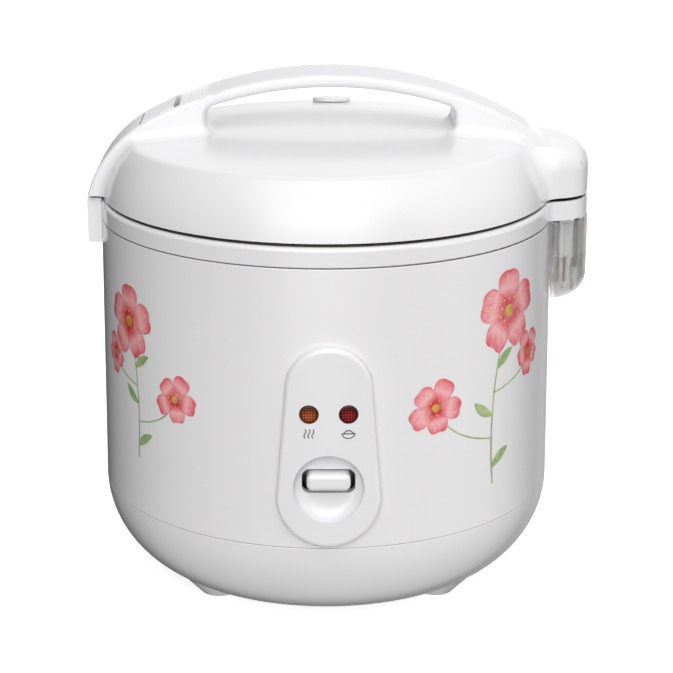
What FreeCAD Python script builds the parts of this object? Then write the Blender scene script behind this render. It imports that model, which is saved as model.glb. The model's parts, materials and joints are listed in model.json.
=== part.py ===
import FreeCAD, Part
import math
import os

# Rice cooker with a hinged lid, a carry handle on the lid, a dew collector and a one-lever control.
# Millimetres. The origin is on the table under the body's axis, +Z is up, the panel faces -Y,
# the lid latch is at -X and the lid hinge at +X.

V = FreeCAD.Vector
Z_AXIS = V(0, 0, 1)

# Heights of the stack, from the table up
FOOT_H = 7.5
BASE_H = 48.0
BODY_H = 156.4
RING_H = 11.0
LID_GAP = 2.0
LID_SIDE_H = 31.1
CROWN_H = 8.5
GRIP_H = 29.4

# Outer radii of the body, and how far each stage steps in from it
BODY_R = 130.0
BODY_FLARE = 1.8
BOTTOM_STEP = 28.3
LID_STEP = 1.2
CREASE_STEP = 16.3

# Walls
SHELL_T = 0.8
BASE_T = 2.9
LID_T = 2.5
CAN_T = 0.8
POT_T = 1.6

# Clearances
SLIP = 0.1
GAP = 0.3
RUN = 0.05
ROOM = 0.8
THROUGH = 30.0
CUT_OVER = 1.0

# Base and feet
BASE_BOW = 7.5
BASE_EDGE_R = 5.0
LIP_H = 7.0
FOOT_IN = 40.5
FOOT_TOP_R = 17.0
FOOT_LOW_R = 10.0
FOOT_RISE = 5.0
FOOT_PEG_R = 4.0
FOOT_PEG_LOW = 1.0
FOOT_PEG_UP = 1.0
VENT_COUNT = 12
VENT_R = 58.0
VENT_L = 24.0
VENT_W = 4.0
BOSS_R = 5.0
BOSS_IN = 12.0
BOSS_ANGLES = (30.0, 150.0, 210.0, 330.0)
SCREW_R = 2.0
SCREW_HEAD_R = 3.6
SCREW_HEAD_H = 1.8
SCREW_BITE = 11.0
SCREW_SUNK = 0.2

# Ring on the body, with the seat for the pot
RING_EDGE_R = 2.5
SEAM_R = 0.8
RIM_EDGE_R = 1.0
RIM_LEAN = 1.0
TONGUE_TUCK = 2.0
RIM_ROOM = 4.5
SEAT_DEPTH = 6.8
SEAT_STEP = 2.5
SHELL_FLANGE_W = 8.0

# Inner can, pot and heater
BODY_ROOM = 20.0
POT_ROOM = 4.0
CAN_FLOOR_UP = 26.0
CAN_FLANGE_ROOM = 0.5
HEATER_LEDGE = 8.0
HEATER_EDGE = 21.0
HEATER_T = 9.2
RIB_R = 53.0
RIB_W = 16.0
RIB_H = 8.8
TUBE_R = 4.0
TUBE_END_R = 2.5
TUBE_GAP_DEG = 30.0
TUBE_LEG = 19.0
TUBE_RISE = 0.2
HEATER_SCREWS = 3
HEATER_SCREW_IN = 4.0
HEATER_BITE = 6.0
POT_CORNER_R = 25.0
POT_RIM_W = 11.0
WARM_BAND_UP = 46.0
WARM_BAND_H = 30.0
WARM_BAND_T = 1.2

# Heat sensor under the pot
SENSOR_HOLE_R = 20.0
SENSOR_CAP_R = 18.0
SENSOR_CAP_H = 20.0
SENSOR_CAP_T = 1.0
SENSOR_CAP_EDGE_R = 1.5
SENSOR_TUBE_R = 16.5
SENSOR_TUBE_T = 2.0
SENSOR_DROP = 24.0
SENSOR_TRAVEL = 3.0
SENSOR_FLANGE_R = 38.0
SENSOR_FLANGE_T = 1.5
POST_R = 3.0
POST_PITCH_R = 33.0
POST_COUNT = 3
POST_TURN = 30.0
MAGNET_R = 9.0
MAGNET_H = 8.0
MAGNET_TRAVEL = 5.2
ROD_R = 2.0
ROD_TAIL = 5.0
SPRING_WIRE = 1.4

# Cook lever and its switch
LEVER_ROOM = 28.6
LEVER_PIVOT_UP = 18.0
LEVER_PIN_R = 2.0
LEVER_EYE_R = 4.5
LEVER_STRAP_T = 1.6
LEVER_STRAP_W = 20.0
LEVER_HEAD_STEP = 1.0
LEVER_BEND = 24.0
LEVER_LAP = 1.0
LEVER_TAIL = 6.0
LEVER_PIN_PROUD = 1.0
KNOB_W = 23.6
KNOB_H = 9.6
KNOB_UP = 38.9
KNOB_OUT = -0.3
KNOB_CORNER_R = 3.4
KNOB_EDGE_R = 2.6
KNOB_BACK = 4.0
EAR_GAP = 28.0
EAR_T = 1.5
BRACKET_L = 14.0
BRACKET_DROP = 6.0
SWITCH_SIZE = (7.0, 20.0, 15.0)
SWITCH_STAND = 1.2
SWITCH_OFF = 3.0
STEM_SIZE = (1.0, 3.0, 4.0)
STEM_OFF = 4.0
STEM_DROP = 4.0

# Control panel on the front of the body
PANEL_OUT = 4.3
PANEL_LOW = 1.5
PANEL_H = 113.1
PANEL_W_LOW = 57.0
PANEL_W_TOP = 46.0
PANEL_EDGE_R = 2.5
PANEL_LOW_BULGE = 0.93
PANEL_TOP_BULGE = 0.9
PANEL_BACK_TUCK = 1.0
WINDOW_W = 40.0
WINDOW_LOW = 16.0
WINDOW_TOP = 90.0
WINDOW_DEPTH = 7.0
DISH_D = 38.5
DISH_DEPTH = 7.0
DISH_FLOOR_R = 6.4
DISH_UP = 35.6
SLOT_W = 28.9
SLOT_H = 13.7
SLOT_UP = 37.8
SLOT_CORNER_R = 4.0
LENS_D = 10.5
LENS_PITCH = 21.0
LENS_UP = 78.0
LENS_FLANGE = 1.3
LENS_FLANGE_T = 1.2
LENS_PROUD = 0.4
LENS_FRONT_T = 4.0
LENS_BORE_ROOM = 1.0
LENS_EDGE_R = 1.2
LAMP_R = 2.4
LAMP_IN = 6.0
LAMP_ROUND = 0.8
BOARD_SIZE = (40.0, 1.6, 18.0)
BOARD_BACK = 5.0
BOARD_POST_R = 2.2
BOARD_POST_PITCH = 11.0
BOARD_POST_BITE = 1.0
BOARD_SCREW_R = 1.1
BOARD_SCREW_HEAD_R = 2.2
BOARD_SCREW_HEAD_H = 1.4
BOARD_SCREW_BITE = 3.0

# Power inlet at the back
INLET_W = 34.0
INLET_H = 24.0
INLET_UP = 20.0
INLET_ROOM = 2.2
INLET_FLANGE = 4.0
INLET_PROUD = 3.0
INLET_WALL = 3.0
INLET_CORNER_R = 3.0
BLADE_SIZE = (2.0, 4.0)
BLADE_PITCH = 8.0
BLADE_SHORT = 4.0
BLADE_UP = 6.0
BLADE_TAIL = 1.0
TERMINAL_SIZE = (34.0, 12.0, 14.0)
TERMINAL_IN = 19.5
TERMINAL_BORE_R = 2.5
FUSE_R = 3.0
FUSE_L = 22.0
FUSE_ROOM = 1.0

# Lid dome
LID_BOW = 3.0
CREASE_ROUND = 6.0
CREASE_ROUND_IN = 5.0
CREASE_INSET = 0.8
LID_SCREWS = 4
LID_SCREW_TURN = 45.0
LID_BOSS_IN = 8.0
LID_BOSS_R = 4.5
LINER_T = 2.0
LINER_UP = 0.6
SKIRT_ROOM = 1.5
SKIRT_T = 1.6
SKIRT_H = 5.5
PLATE_T = 1.2
PLATE_TUCK = 3.0
PLATE_DROP = 2.8
GASKET_W = 9.5
GASKET_STEP = 1.0
GASKET_LIP = 1.0
HANGER_R = 3.5
HANGER_DROP = 2.0
GROMMET_R = 9.0
GROMMET_LOW = 1.7
PLATE_HOLE_R = 6.0

# Carry handle on the lid
ARCH_X = 2.0
ROOT_IN = 13.0
ROOT_LOW = 8.6
ROOT_RISE = 22.5
HANDLE_ROOT_IN = 12.0
HANDLE_W = 44.0
HANDLE_T = 6.8
LEG_OUT = 6.4
LEG_UP = 0.6
SHOULDER_IN = 27.2
LEG_BOW = 5.6
OPENING_LEFT_IN = 61.5
OPENING_RIGHT_IN = 57.5
OPENING_CORNER_R = 7.0
OPENING_EDGE_R = 3.4
OPENING_DROP = 8.0
OPENING_EDGE_DROP = 5.0
HANDLE_EDGE_R = 2.0
FLARE_R = 6.0
FLARE_REACH = 6.0
EDGE_NEAR = 0.2
CAP_W = 35.0
CAP_LEFT_IN = 63.0
CAP_RIGHT_IN = 14.0
CAP_T = 2.6
CAP_STEP = 1.0
CAP_EDGE_R = 0.7

# Hinge at the right
HINGE_OUT = 21.0
HINGE_W = 57.0
HINGE_CORNER_R = 24.0
HINGE_TOP_R = 18.0
HINGE_TOP_STEP = 1.7
HINGE_ROOT_IN = 32.0
HINGE_FLARE_R = 4.0
BLEND_R = 12.0
BLEND_SINK = 0.05
PIN_IN = 8.0
PIN_UP = 20.0
PIN_R = 2.5
PIN_L = 40.0
EAR_PITCH = 20.0
EAR_W = 5.0
EAR_R = 5.0
EAR_ROOT = 2.0
EAR_SIDE_ROOM = 0.4
HINGE_SPRING_R = 4.6
HINGE_SPRING_L = 13.0

# Dew collector under the hinge
DEW_W = 70.0
DEW_H = 47.1
DEW_T = 1.8
DEW_CORNER_R = 26.0
DEW_LOW_R = 14.0
DEW_ROOT_IN = 20.0
DEW_STAND = 1.4
TAB_OUT = 4.6
TAB_T = 6.4
TAB_W = 28.0
TAB_H = 24.4
TAB_BITE = 1.0

# Latch at the left
CATCH_OUT = 7.0
CATCH_W = 36.0
CATCH_H = 26.0
CATCH_ABOVE = 0.6
CATCH_WALL = 1.4
CATCH_LIP = 1.7
CATCH_TUCK = 3.0
CATCH_LOW_R = 2.0
CATCH_TOP_R = 1.2
CATCH_SLOT_W = 18.0
CATCH_POCKET_H = 6.0
NOTCH_DEPTH = 2.4
HOOK_W = 16.0
HOOK_T = 3.0
HOOK_STEM_T = 2.0
HOOK_NOSE = 1.9
HOOK_NOSE_H = 3.3
HOOK_NOSE_LEAD = 1.0
HOOK_LIP_ROOM = 0.7
HOOK_KNEE_IN = 1.4
HOOK_KNEE_UP = 2.5
HOOK_PIVOT_IN = 8.5
HOOK_PIVOT_UP = 16.1
HOOK_EYE_R = 4.0
LATCH_PIN_R = 1.5
LATCH_PIN_L = 26.0
HEAD_REACH = (9.2, 11.2)
TIP_R = 1.6
POCKET_W = 20.6
POCKET_BOW = 5.6
POCKET_WALL = 1.5
POCKET_STAND = 0.4
POCKET_TOP_LEFT = (-4.0, -2.0)
POCKET_TOP_RIGHT = (2.0, -2.0)
POCKET_TIP = (4.5, -4.0)
POCKET_HOOK = (5.0, -6.0)
POCKET_FOOT = (2.2, 3.4)
LUG_WALL = 1.5
LUG_R = 4.0
LUG_RIGHT = 5.0
BUTTON_W = 35.0
BUTTON_L = 18.6
BUTTON_LEAD = 1.8
BUTTON_PROUD = 1.0
BUTTON_T = 5.3
BUTTON_LEFT_PROUD = 0.4
BUTTON_LOW_LEFT = 1.4
BUTTON_KINK = (5.0, 2.4)
BUTTON_EDGE_R = 1.0
BUTTON_NECK = (1.0, 4.0)
BUTTON_NECK_T = 4.0
BUTTON_SIDE_ROOM = 0.4
BUTTON_LEFT_ROOM = 1.1
BUTTON_PIVOT_IN = 27.0
BUTTON_PIVOT_DEPTH = 6.3
BUTTON_REACH = (12.1, 9.1)
BUTTON_EYE_R = 3.2
BUTTON_END_ROOM = 2.8
RECESS_UP = 1.1
BUTTON_SPRING_AT = 12.0
BUTTON_SPRING_R = 3.2
BUTTON_SPRING_WIRE = 1.0

# Steam vent on the lid
VENT_X = 4.0
VENT_IN = 22.5
VENT_CAP_R = 11.6
VENT_CAP_T = 2.4
VENT_CAP_EDGE_R = 1.2
VENT_STEM_R = 6.3
VENT_STEM_T = 1.6
VENT_STEM_L = 5.0
VENT_STEM_LAP = 0.2
VENT_SLIT_R = (2.6, 4.0)
VENT_SLIT_DEG = 110.0
STEAM_TUBE_R = 8.2
STEAM_TUBE_T = 1.6
STEAM_TUBE_H = 24.0
STEAM_COLLAR_W = 2.0
STEAM_COLLAR_T = 1.5

# Levels and radii that follow from the values above
BASE_Z = FOOT_H
FLOOR_Z = BASE_Z + BASE_T
SEAM_Z = BASE_Z + BASE_H
RING_Z = SEAM_Z + BODY_H
DECK_Z = RING_Z + RING_H
LID_Z = DECK_Z + LID_GAP
CREASE_Z = LID_Z + LID_SIDE_H
CROWN_Z = CREASE_Z + CROWN_H
GRIP_Z = CROWN_Z + GRIP_H
SEAT_Z = DECK_Z - SEAT_DEPTH
CAN_Z = SEAM_Z + CAN_FLOOR_UP
HEATER_Z = CAN_Z + CAN_T
POT_Z = HEATER_Z + HEATER_T
RIB_Z = HEATER_Z - RIB_H
TUBE_Z = HEATER_Z - TUBE_R + TUBE_RISE
SENSOR_Z = HEATER_Z - SENSOR_DROP
LINER_Z = LID_Z + LINER_UP
PLATE_Z = LINER_Z - PLATE_DROP - PLATE_T
BASE_R = BODY_R + BODY_FLARE
BOTTOM_R = BASE_R - BOTTOM_STEP
LIP_R = BASE_R - SHELL_T - 2 * SLIP
LID_R = BODY_R - LID_STEP
CAN_R = BODY_R - BODY_ROOM
POT_R = CAN_R - POT_ROOM
POT_RIM_R = POT_R + POT_RIM_W
RING_IN_R = POT_R + SEAT_STEP
HEATER_R = RIB_R + RIB_W / 2 + HEATER_EDGE
HEATER_OPEN_R = HEATER_R - HEATER_LEDGE
HEATER_SCREW_R = HEATER_R - HEATER_SCREW_IN
BOSS_PITCH_R = CAN_R - BOSS_IN
GASKET_IN_R = POT_R + GASKET_STEP
GASKET_R = GASKET_IN_R + GASKET_W
PLATE_R = GASKET_IN_R + PLATE_TUCK
TERMINAL_Y = BOTTOM_R - TERMINAL_IN
TAB_X = BODY_R + TAB_OUT
INLET_Y = CAN_R + CAN_T + INLET_ROOM
CREASE_R = LID_R - CREASE_STEP
VENT_Y = CREASE_R - VENT_IN
PANEL_R = BODY_R + BODY_FLARE / 2 + PANEL_OUT
WINDOW_R = PANEL_R - PANEL_OUT - WINDOW_DEPTH
HINGE_X = BODY_R + HINGE_OUT
PIN_X = HINGE_X - PIN_IN
BLOCK_TOP_Z = CREASE_Z + HINGE_TOP_STEP
PIN_Z = DECK_Z + PIN_UP
ROOT_X = HINGE_X - ROOT_IN
ARCH_FALL = GRIP_Z - LID_Z - ROOT_RISE
ARCH_R = ((ROOT_X - ARCH_X) ** 2 + ARCH_FALL ** 2) / (2 * ARCH_FALL)
ARCH_Z = GRIP_Z - ARCH_R
SHOULDER_X = -(BODY_R - SHOULDER_IN)
OPENING_LEFT = -(BODY_R - OPENING_LEFT_IN)
OPENING_RIGHT = BODY_R - OPENING_RIGHT_IN
CAP_LEFT = -(BODY_R - CAP_LEFT_IN)
CAP_RIGHT = BODY_R - CAP_RIGHT_IN
HINGE_ROOT_X = BODY_R - HINGE_ROOT_IN
LEG_X = -(BODY_R + LEG_OUT)
LEG_Z = LID_Z + LEG_UP
CATCH_X = -(BODY_R + CATCH_OUT)
CATCH_TOP_Z = DECK_Z + CATCH_ABOVE
LIP_EDGE_X = CATCH_X + CATCH_WALL + CATCH_LIP
STEM_X = LIP_EDGE_X + HOOK_LIP_ROOM
LIP_LOW_Z = RING_Z + CATCH_POCKET_H
HOOK_X = -(BODY_R - HOOK_PIVOT_IN)
HOOK_Z = LID_Z + HOOK_PIVOT_UP
BUTTON_X = -(BODY_R - BUTTON_PIVOT_IN)
BUTTON_Z = ARCH_Z + math.sqrt(ARCH_R ** 2 - (BUTTON_X - ARCH_X) ** 2) - BUTTON_PIVOT_DEPTH
BUTTON_PIVOT = (BUTTON_X, BUTTON_Z)
BUTTON_TIP = (HOOK_X + BUTTON_REACH[0], HOOK_Z + BUTTON_REACH[1])
BUTTON_LEFT = BUTTON_X - BUTTON_LEAD
BUTTON_RIGHT = BUTTON_LEFT + BUTTON_L
RECESS_LEFT = BUTTON_LEFT - BUTTON_LEFT_ROOM
RECESS_RIGHT = BUTTON_RIGHT + BUTTON_END_ROOM
RECESS_Z = BUTTON_Z + RECESS_UP
BUTTON_SPRING_X = BUTTON_X + BUTTON_SPRING_AT
LEVER_Y = -(RIB_R + RIB_W / 2 + LEVER_ROOM)
LEVER_Z = SEAM_Z + LEVER_PIVOT_UP
KNOB_Z = SEAM_Z + KNOB_UP
LENS_Z = SEAM_Z + LENS_UP
INLET_Z = SEAM_Z + INLET_UP


# Shape tools
def bow(p, q, h):
    """Point beside the middle of the chord from p to q, h to the right of the way it goes."""
    da, db = q[0] - p[0], q[1] - p[1]
    run = math.hypot(da, db)
    return ((p[0] + q[0]) / 2 + db / run * h, (p[1] + q[1]) / 2 - da / run * h)


def shifted(point, by):
    """Point moved by a pair of offsets."""
    return (point[0] + by[0], point[1] + by[1])


def via(point):
    """Marks a point that an arc passes on its way to the next corner."""
    return ("via",) + tuple(point)


def in_side(a, b):
    """Side plane: a is X and b is Z."""
    return V(a, 0, b)


def in_plan(a, b):
    """Plan: a is X and b is Y."""
    return V(a, b, 0)


def in_length(a, b):
    """Plane across X: a is Y and b is Z."""
    return V(0, a, b)


def rounded(corners):
    """Corners (a, b, radius) become tangent points with an arc between them, the rest stay."""
    steps = []
    count = len(corners)
    for i, corner in enumerate(corners):
        if len(corner) == 2 or corner[0] == "via":
            steps.append(corner)
            continue
        a, b, radius = corner
        before = corners[i - 1]
        after = corners[(i + 1) % count]
        ua, ub = before[0] - a, before[1] - b
        va, vb = after[0] - a, after[1] - b
        un, vn = math.hypot(ua, ub), math.hypot(va, vb)
        ua, ub, va, vb = ua / un, ub / un, va / vn, vb / vn
        half = math.acos(ua * va + ub * vb) / 2
        reach = radius / math.tan(half)
        ma, mb = ua + va, ub + vb
        mn = math.hypot(ma, mb)
        depth = radius / math.sin(half) - radius
        steps.append((a + ua * reach, b + ub * reach))
        steps.append(via((a + ma / mn * depth, b + mb / mn * depth)))
        steps.append((a + va * reach, b + vb * reach))
    return steps


def face(corners, place):
    """Flat face inside a closed run of straight lines and arcs."""
    steps = rounded(corners)
    steps.append(steps[0])
    edges = []
    here = steps[0]
    through = None
    for step in steps[1:]:
        if step[0] == "via":
            through = step[1:]
            continue
        start, end = place(*here), place(*step)
        if through:
            edges.append(Part.Arc(start, place(*through), end).toShape())
        elif start.distanceToPoint(end) > 1e-6:
            edges.append(Part.LineSegment(start, end).toShape())
        here, through = step, None
    return Part.Face(Part.Wire(edges))


def turned(corners):
    """Solid of revolution about the body's axis, corners are (radius, z)."""
    return face(corners, in_side).revolve(V(0, 0, 0), Z_AXIS, 360)


def across(corners, width):
    """Side outline (x, z) carried across Y, centred."""
    solid = face(corners, in_side).extrude(V(0, width, 0))
    solid.translate(V(0, -width / 2, 0))
    return solid


def along(corners, width):
    """Outline (y, z) carried along X, centred."""
    solid = face(corners, in_length).extrude(V(width, 0, 0))
    solid.translate(V(-width / 2, 0, 0))
    return solid


def upright(corners, low, high):
    """Plan outline (x, y) carried up from one level to another."""
    solid = face(corners, in_plan).extrude(V(0, 0, high - low))
    solid.translate(V(0, 0, low))
    return solid


def box(low, high):
    """Box between two corners."""
    return Part.makeBox(high[0] - low[0], high[1] - low[1], high[2] - low[2], V(*low))


def rod(radius, start, end):
    """Round bar between two points."""
    way = V(*end) - V(*start)
    return Part.makeCylinder(radius, way.Length, V(*start), way)


def tube(outer, inner, start, end):
    """Round bar with a bore right through."""
    return rod(outer, start, end).cut(rod(inner, start, end))


def cross_pin(radius, length, x, z):
    """Round bar along Y, centred."""
    return rod(radius, (x, -length / 2, z), (x, length / 2, z))


def bar(p, q, thick, width):
    """Flat bar in the side plane from p to q with round ends."""
    da, db = q[0] - p[0], q[1] - p[1]
    run = math.hypot(da, db)
    na, nb = -db / run * thick / 2, da / run * thick / 2
    corners = [(p[0] + na, p[1] + nb), (p[0] - na, p[1] - nb), (q[0] - na, q[1] - nb), (q[0] + na, q[1] + nb)]
    return across(corners, width).fuse(cross_pin(thick / 2, width, *q))


def middle(edge):
    """Point halfway along an edge."""
    return edge.valueAt((edge.FirstParameter + edge.LastParameter) / 2)


def edges_where(solid, test):
    """Edges whose middle point passes the test."""
    return [edge for edge in solid.Edges if edge.Length > 1e-3 and test(middle(edge))]


def around(radius, degrees):
    """Plan position at a radius and an angle from +X."""
    angle = math.radians(degrees)
    return radius * math.cos(angle), radius * math.sin(angle)


def one(solid):
    """The single solid of a result, with its split faces joined."""
    clean = solid.removeSplitter()
    return clean.Solids[0] if len(clean.Solids) == 1 else clean


# Shared forms
def shell_radius(z):
    """Outer radius of the body shell at a level."""
    return BODY_R + BODY_FLARE * (RING_Z - z) / BODY_H


def body_core(stand):
    """Solid the size of the body shell, larger by a stand-off."""
    low, high = BASE_Z, CROWN_Z
    return Part.makeCone(shell_radius(low) + stand, shell_radius(high) + stand, high - low, V(0, 0, low))


def base_core():
    """The base's outer form, filled."""
    low, high = (BOTTOM_R, BASE_Z), (BASE_R, SEAM_Z)
    core = turned([(0, BASE_Z), low, via(bow(low, high, BASE_BOW)), high, (0, SEAM_Z)])
    core = core.makeFillet(BASE_EDGE_R, edges_where(core, lambda p: abs(p.z - BASE_Z) < 1e-3))
    return core.makeFillet(SEAM_R, edges_where(core, lambda p: abs(p.z - SEAM_Z) < 1e-3))


def dome(inset, crease_round):
    """The lid's domed form, filled, smaller all round by an inset."""
    low = (LID_R - inset, LID_Z)
    crease = (CREASE_R - inset, CREASE_Z - inset * CREASE_INSET)
    top = (0, CROWN_Z - inset)
    rise = top[1] - crease[1]
    sphere_r = (crease[0] ** 2 + rise ** 2) / (2 * rise)
    half = crease[0] / 2
    shoulder = (half, top[1] - sphere_r + math.sqrt(sphere_r ** 2 - half ** 2))
    solid = turned([(0, LID_Z), low, via(bow(low, crease, LID_BOW)), crease, via(shoulder), top])
    return solid.makeFillet(crease_round, edges_where(solid, lambda p: abs(p.z - crease[1]) < 1e-3))


def crown_height(radius):
    """Level of the lid's crown at a distance from its middle."""
    sphere_r = (CREASE_R ** 2 + CROWN_H ** 2) / (2 * CROWN_H)
    return CROWN_Z - sphere_r + math.sqrt(sphere_r ** 2 - radius ** 2)


def arch_height(x, radius=ARCH_R):
    """Level of an arc of the handle at a place along it."""
    return ARCH_Z + math.sqrt(radius ** 2 - (x - ARCH_X) ** 2)


def hinge_plan(width, reach, corner_r, root):
    """Plan outline square at the root, rounded at the outer corners."""
    half = width / 2
    return [(root, -half), (reach, -half, corner_r), (reach, half, corner_r), (root, half)]


def flared_plan(root):
    """Plan outline of the hinge tongue: its round end flows into the ring with a hollow arc at each side."""
    qx, qy = HINGE_X - HINGE_CORNER_R, -(HINGE_W / 2 - HINGE_CORNER_R)
    away, near = BODY_R + HINGE_FLARE_R, HINGE_CORNER_R + HINGE_FLARE_R
    reach = math.hypot(qx, qy)
    swing = math.acos((away ** 2 + reach ** 2 - near ** 2) / (2 * away * reach))
    turn = math.atan2(qy, qx) - swing
    cx, cy = away * math.cos(turn), away * math.sin(turn)
    on_body = (cx * BODY_R / away, cy * BODY_R / away)
    on_end = (qx + (cx - qx) * HINGE_CORNER_R / near, qy + (cy - qy) * HINGE_CORNER_R / near)
    hollow = arc_middle((cx, cy), on_body, on_end)
    end = (HINGE_X, qy)
    side = [(root, on_body[1]), on_body, via(hollow), on_end, via(arc_middle((qx, qy), on_end, end)), end]
    other = []
    for step in reversed(side):
        other.append(step[:-1] + (-step[-1],))
    return side + other


def arc_middle(centre, p, q):
    """Middle of the shorter arc about a centre from p to q."""
    da, db = p[0] + q[0] - 2 * centre[0], p[1] + q[1] - 2 * centre[1]
    scale = math.hypot(p[0] - centre[0], p[1] - centre[1]) / math.hypot(da, db)
    return (centre[0] + da * scale, centre[1] + db * scale)


# Base, feet and body
def base_bosses():
    """Four screw bosses between the base's floor and the inner can."""
    parts = []
    for angle in BOSS_ANGLES:
        x, y = around(BOSS_PITCH_R, angle)
        parts.append(rod(BOSS_R, (x, y, BASE_Z), (x, y, CAN_Z)))
    return parts


def foot_places():
    """Plan places of the feet with their names."""
    half = BOTTOM_R - FOOT_IN
    return {
        "foot_front_left": (-half, -half),
        "foot_front_right": (half, -half),
        "foot_rear_left": (-half, half),
        "foot_rear_right": (half, half),
    }


def base_shell():
    """Bowl-shaped base with a lip inside the body shell, floor vents, bosses and holes for the feet."""
    low, high = (LIP_R - BASE_T + SHELL_T, SEAM_Z), (BOTTOM_R - BASE_T, FLOOR_Z)
    hollow = turned([(0, FLOOR_Z), high, via(bow(high, low, BASE_BOW)), low, (0, SEAM_Z)])
    lip = tube(LIP_R, low[0], (0, 0, SEAM_Z - BASE_T), (0, 0, SEAM_Z + LIP_H))
    bosses = [boss.common(base_core().fuse(body_core(0))) for boss in base_bosses()]
    solid = base_core().cut(hollow).fuse([lip] + bosses)
    for step in range(VENT_COUNT):
        inner, outer = VENT_R - VENT_L / 2, VENT_R + VENT_L / 2
        vent = box((inner, -VENT_W / 2, 0), (outer, VENT_W / 2, FLOOR_Z + CUT_OVER))
        vent.rotate(V(0, 0, 0), Z_AXIS, 360.0 * (step + 0.5) / VENT_COUNT)
        solid = solid.cut(vent)
    for x, y in foot_places().values():
        solid = solid.cut(rod(FOOT_PEG_R + SLIP, (x, y, 0), (x, y, FLOOR_Z + CUT_OVER)))
    for angle in BOSS_ANGLES:
        x, y = around(BOSS_PITCH_R, angle)
        solid = solid.cut(rod(SCREW_R + SLIP, (x, y, 0), (x, y, CAN_Z)))
        solid = solid.cut(rod(SCREW_HEAD_R + SLIP, (x, y, 0), (x, y, BASE_Z + SCREW_HEAD_H)))
    return one(solid)


def foot(x, y):
    """Tapered foot that follows the base's underside, with a peg through its floor."""
    slope = (FOOT_TOP_R - FOOT_LOW_R) / FOOT_H
    top = FOOT_H + FOOT_RISE
    cone = Part.makeCone(FOOT_LOW_R, FOOT_LOW_R + slope * top, top, V(x, y, 0))
    solid = max(cone.cut(base_core()).Solids, key=lambda piece: piece.Volume)
    return one(solid.fuse(rod(FOOT_PEG_R, (x, y, FOOT_PEG_LOW), (x, y, FLOOR_Z + FOOT_PEG_UP))))


def base_screws():
    """Screws up through the base's bosses into the inner can."""
    parts = []
    for angle in BOSS_ANGLES:
        x, y = around(BOSS_PITCH_R, angle)
        low = BASE_Z + SCREW_SUNK
        head = rod(SCREW_HEAD_R, (x, y, low), (x, y, BASE_Z + SCREW_HEAD_H))
        parts.append(head.fuse(rod(SCREW_R, (x, y, low), (x, y, HEATER_Z))).removeSplitter())
    return Part.makeCompound(parts)


def panel_window(stand):
    """Box the size of the panel's back, larger by a stand-off."""
    half = WINDOW_W / 2 + stand
    low, high = SEAM_Z + WINDOW_LOW - stand, SEAM_Z + WINDOW_TOP + stand
    return box((-half, -BODY_R - THROUGH, low), (half, -BODY_R + THROUGH, high))


def inlet_box(stand):
    """Box the size of the inlet's body, larger by a stand-off."""
    half_w, half_h = INLET_W / 2 + stand, INLET_H / 2 + stand
    return box((-half_w, INLET_Y, INLET_Z - half_h), (half_w, BODY_R + THROUGH, INLET_Z + half_h))


def outer_body():
    """Painted sheet shell with a flange turned in under the ring, cut for the panel and the inlet."""
    flange_r = BODY_R - SHELL_FLANGE_W
    solid = turned([
        (BASE_R - SHELL_T, SEAM_Z), (BASE_R, SEAM_Z), (BODY_R, RING_Z, SHELL_T + SLIP), (flange_r, RING_Z),
        (flange_r, RING_Z - SHELL_T), (BODY_R - SHELL_T, RING_Z - SHELL_T)])
    return one(solid.cut(panel_window(GAP)).cut(inlet_box(GAP)))


# Ring with hinge and latch
def hinge_ears():
    """Two upright ears on the ring that carry the hinge pin."""
    outline = [
        (PIN_X - EAR_R, DECK_Z - EAR_ROOT), (PIN_X + EAR_R, DECK_Z - EAR_ROOT), (PIN_X + EAR_R, PIN_Z),
        via((PIN_X, PIN_Z + EAR_R)), (PIN_X - EAR_R, PIN_Z)]
    ears = []
    for side in (-1, 1):
        ear = across(outline, EAR_W)
        ear.translate(V(0, side * EAR_PITCH / 2, 0))
        ears.append(ear)
    return ears


def rim_ring():
    """Ring on top of the body: pot seat inside, hinge tongue with ears and tab at +X, hook room at -X."""
    deck_in = POT_RIM_R + RIM_ROOM
    solid = turned([
        (RING_IN_R, RING_Z), (BODY_R, RING_Z, SEAM_R), (BODY_R, DECK_Z, RING_EDGE_R),
        (deck_in, DECK_Z, RIM_EDGE_R), (deck_in - RIM_LEAN, SEAT_Z), (RING_IN_R, SEAT_Z)])
    tongue = upright(flared_plan(deck_in - TONGUE_TUCK), RING_Z, DECK_Z)
    tongue = tongue.cut(rod(BODY_R - RING_EDGE_R, (0, 0, RING_Z - CUT_OVER), (0, 0, CROWN_Z)))
    tab = box((TAB_X, -TAB_W / 2, RING_Z - TAB_H), (TAB_X + TAB_T, TAB_W / 2, RING_Z + TAB_BITE))
    solid = solid.fuse([tongue, tab] + hinge_ears())
    solid = solid.cut(cross_pin(PIN_R + RUN, PIN_L, PIN_X, PIN_Z))
    notch = box(
        (-BODY_R - CUT_OVER, -CATCH_SLOT_W / 2, RING_Z - CUT_OVER),
        (-BODY_R + NOTCH_DEPTH, CATCH_SLOT_W / 2, DECK_Z + CUT_OVER))
    return one(solid.cut(notch))


def latch_catch():
    """Block on the ring with a slot for the hook and a lip that the hook's nose holds under."""
    slot_low = RING_Z + SLIP
    low, inner = CATCH_TOP_Z - CATCH_H, -BODY_R + CATCH_TUCK
    solid = across([
        (CATCH_X, low, CATCH_LOW_R), (inner, low), (inner, CATCH_TOP_Z),
        (CATCH_X, CATCH_TOP_Z, CATCH_TOP_R)], CATCH_W)
    solid = solid.cut(body_core(SLIP))
    half = CATCH_SLOT_W / 2
    solid = solid.cut(box((CATCH_X + CATCH_WALL, -half, slot_low), (0, half, LIP_LOW_Z)))
    solid = solid.cut(box((LIP_EDGE_X, -half, slot_low), (0, half, CATCH_TOP_Z + CUT_OVER)))
    return one(solid)


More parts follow.
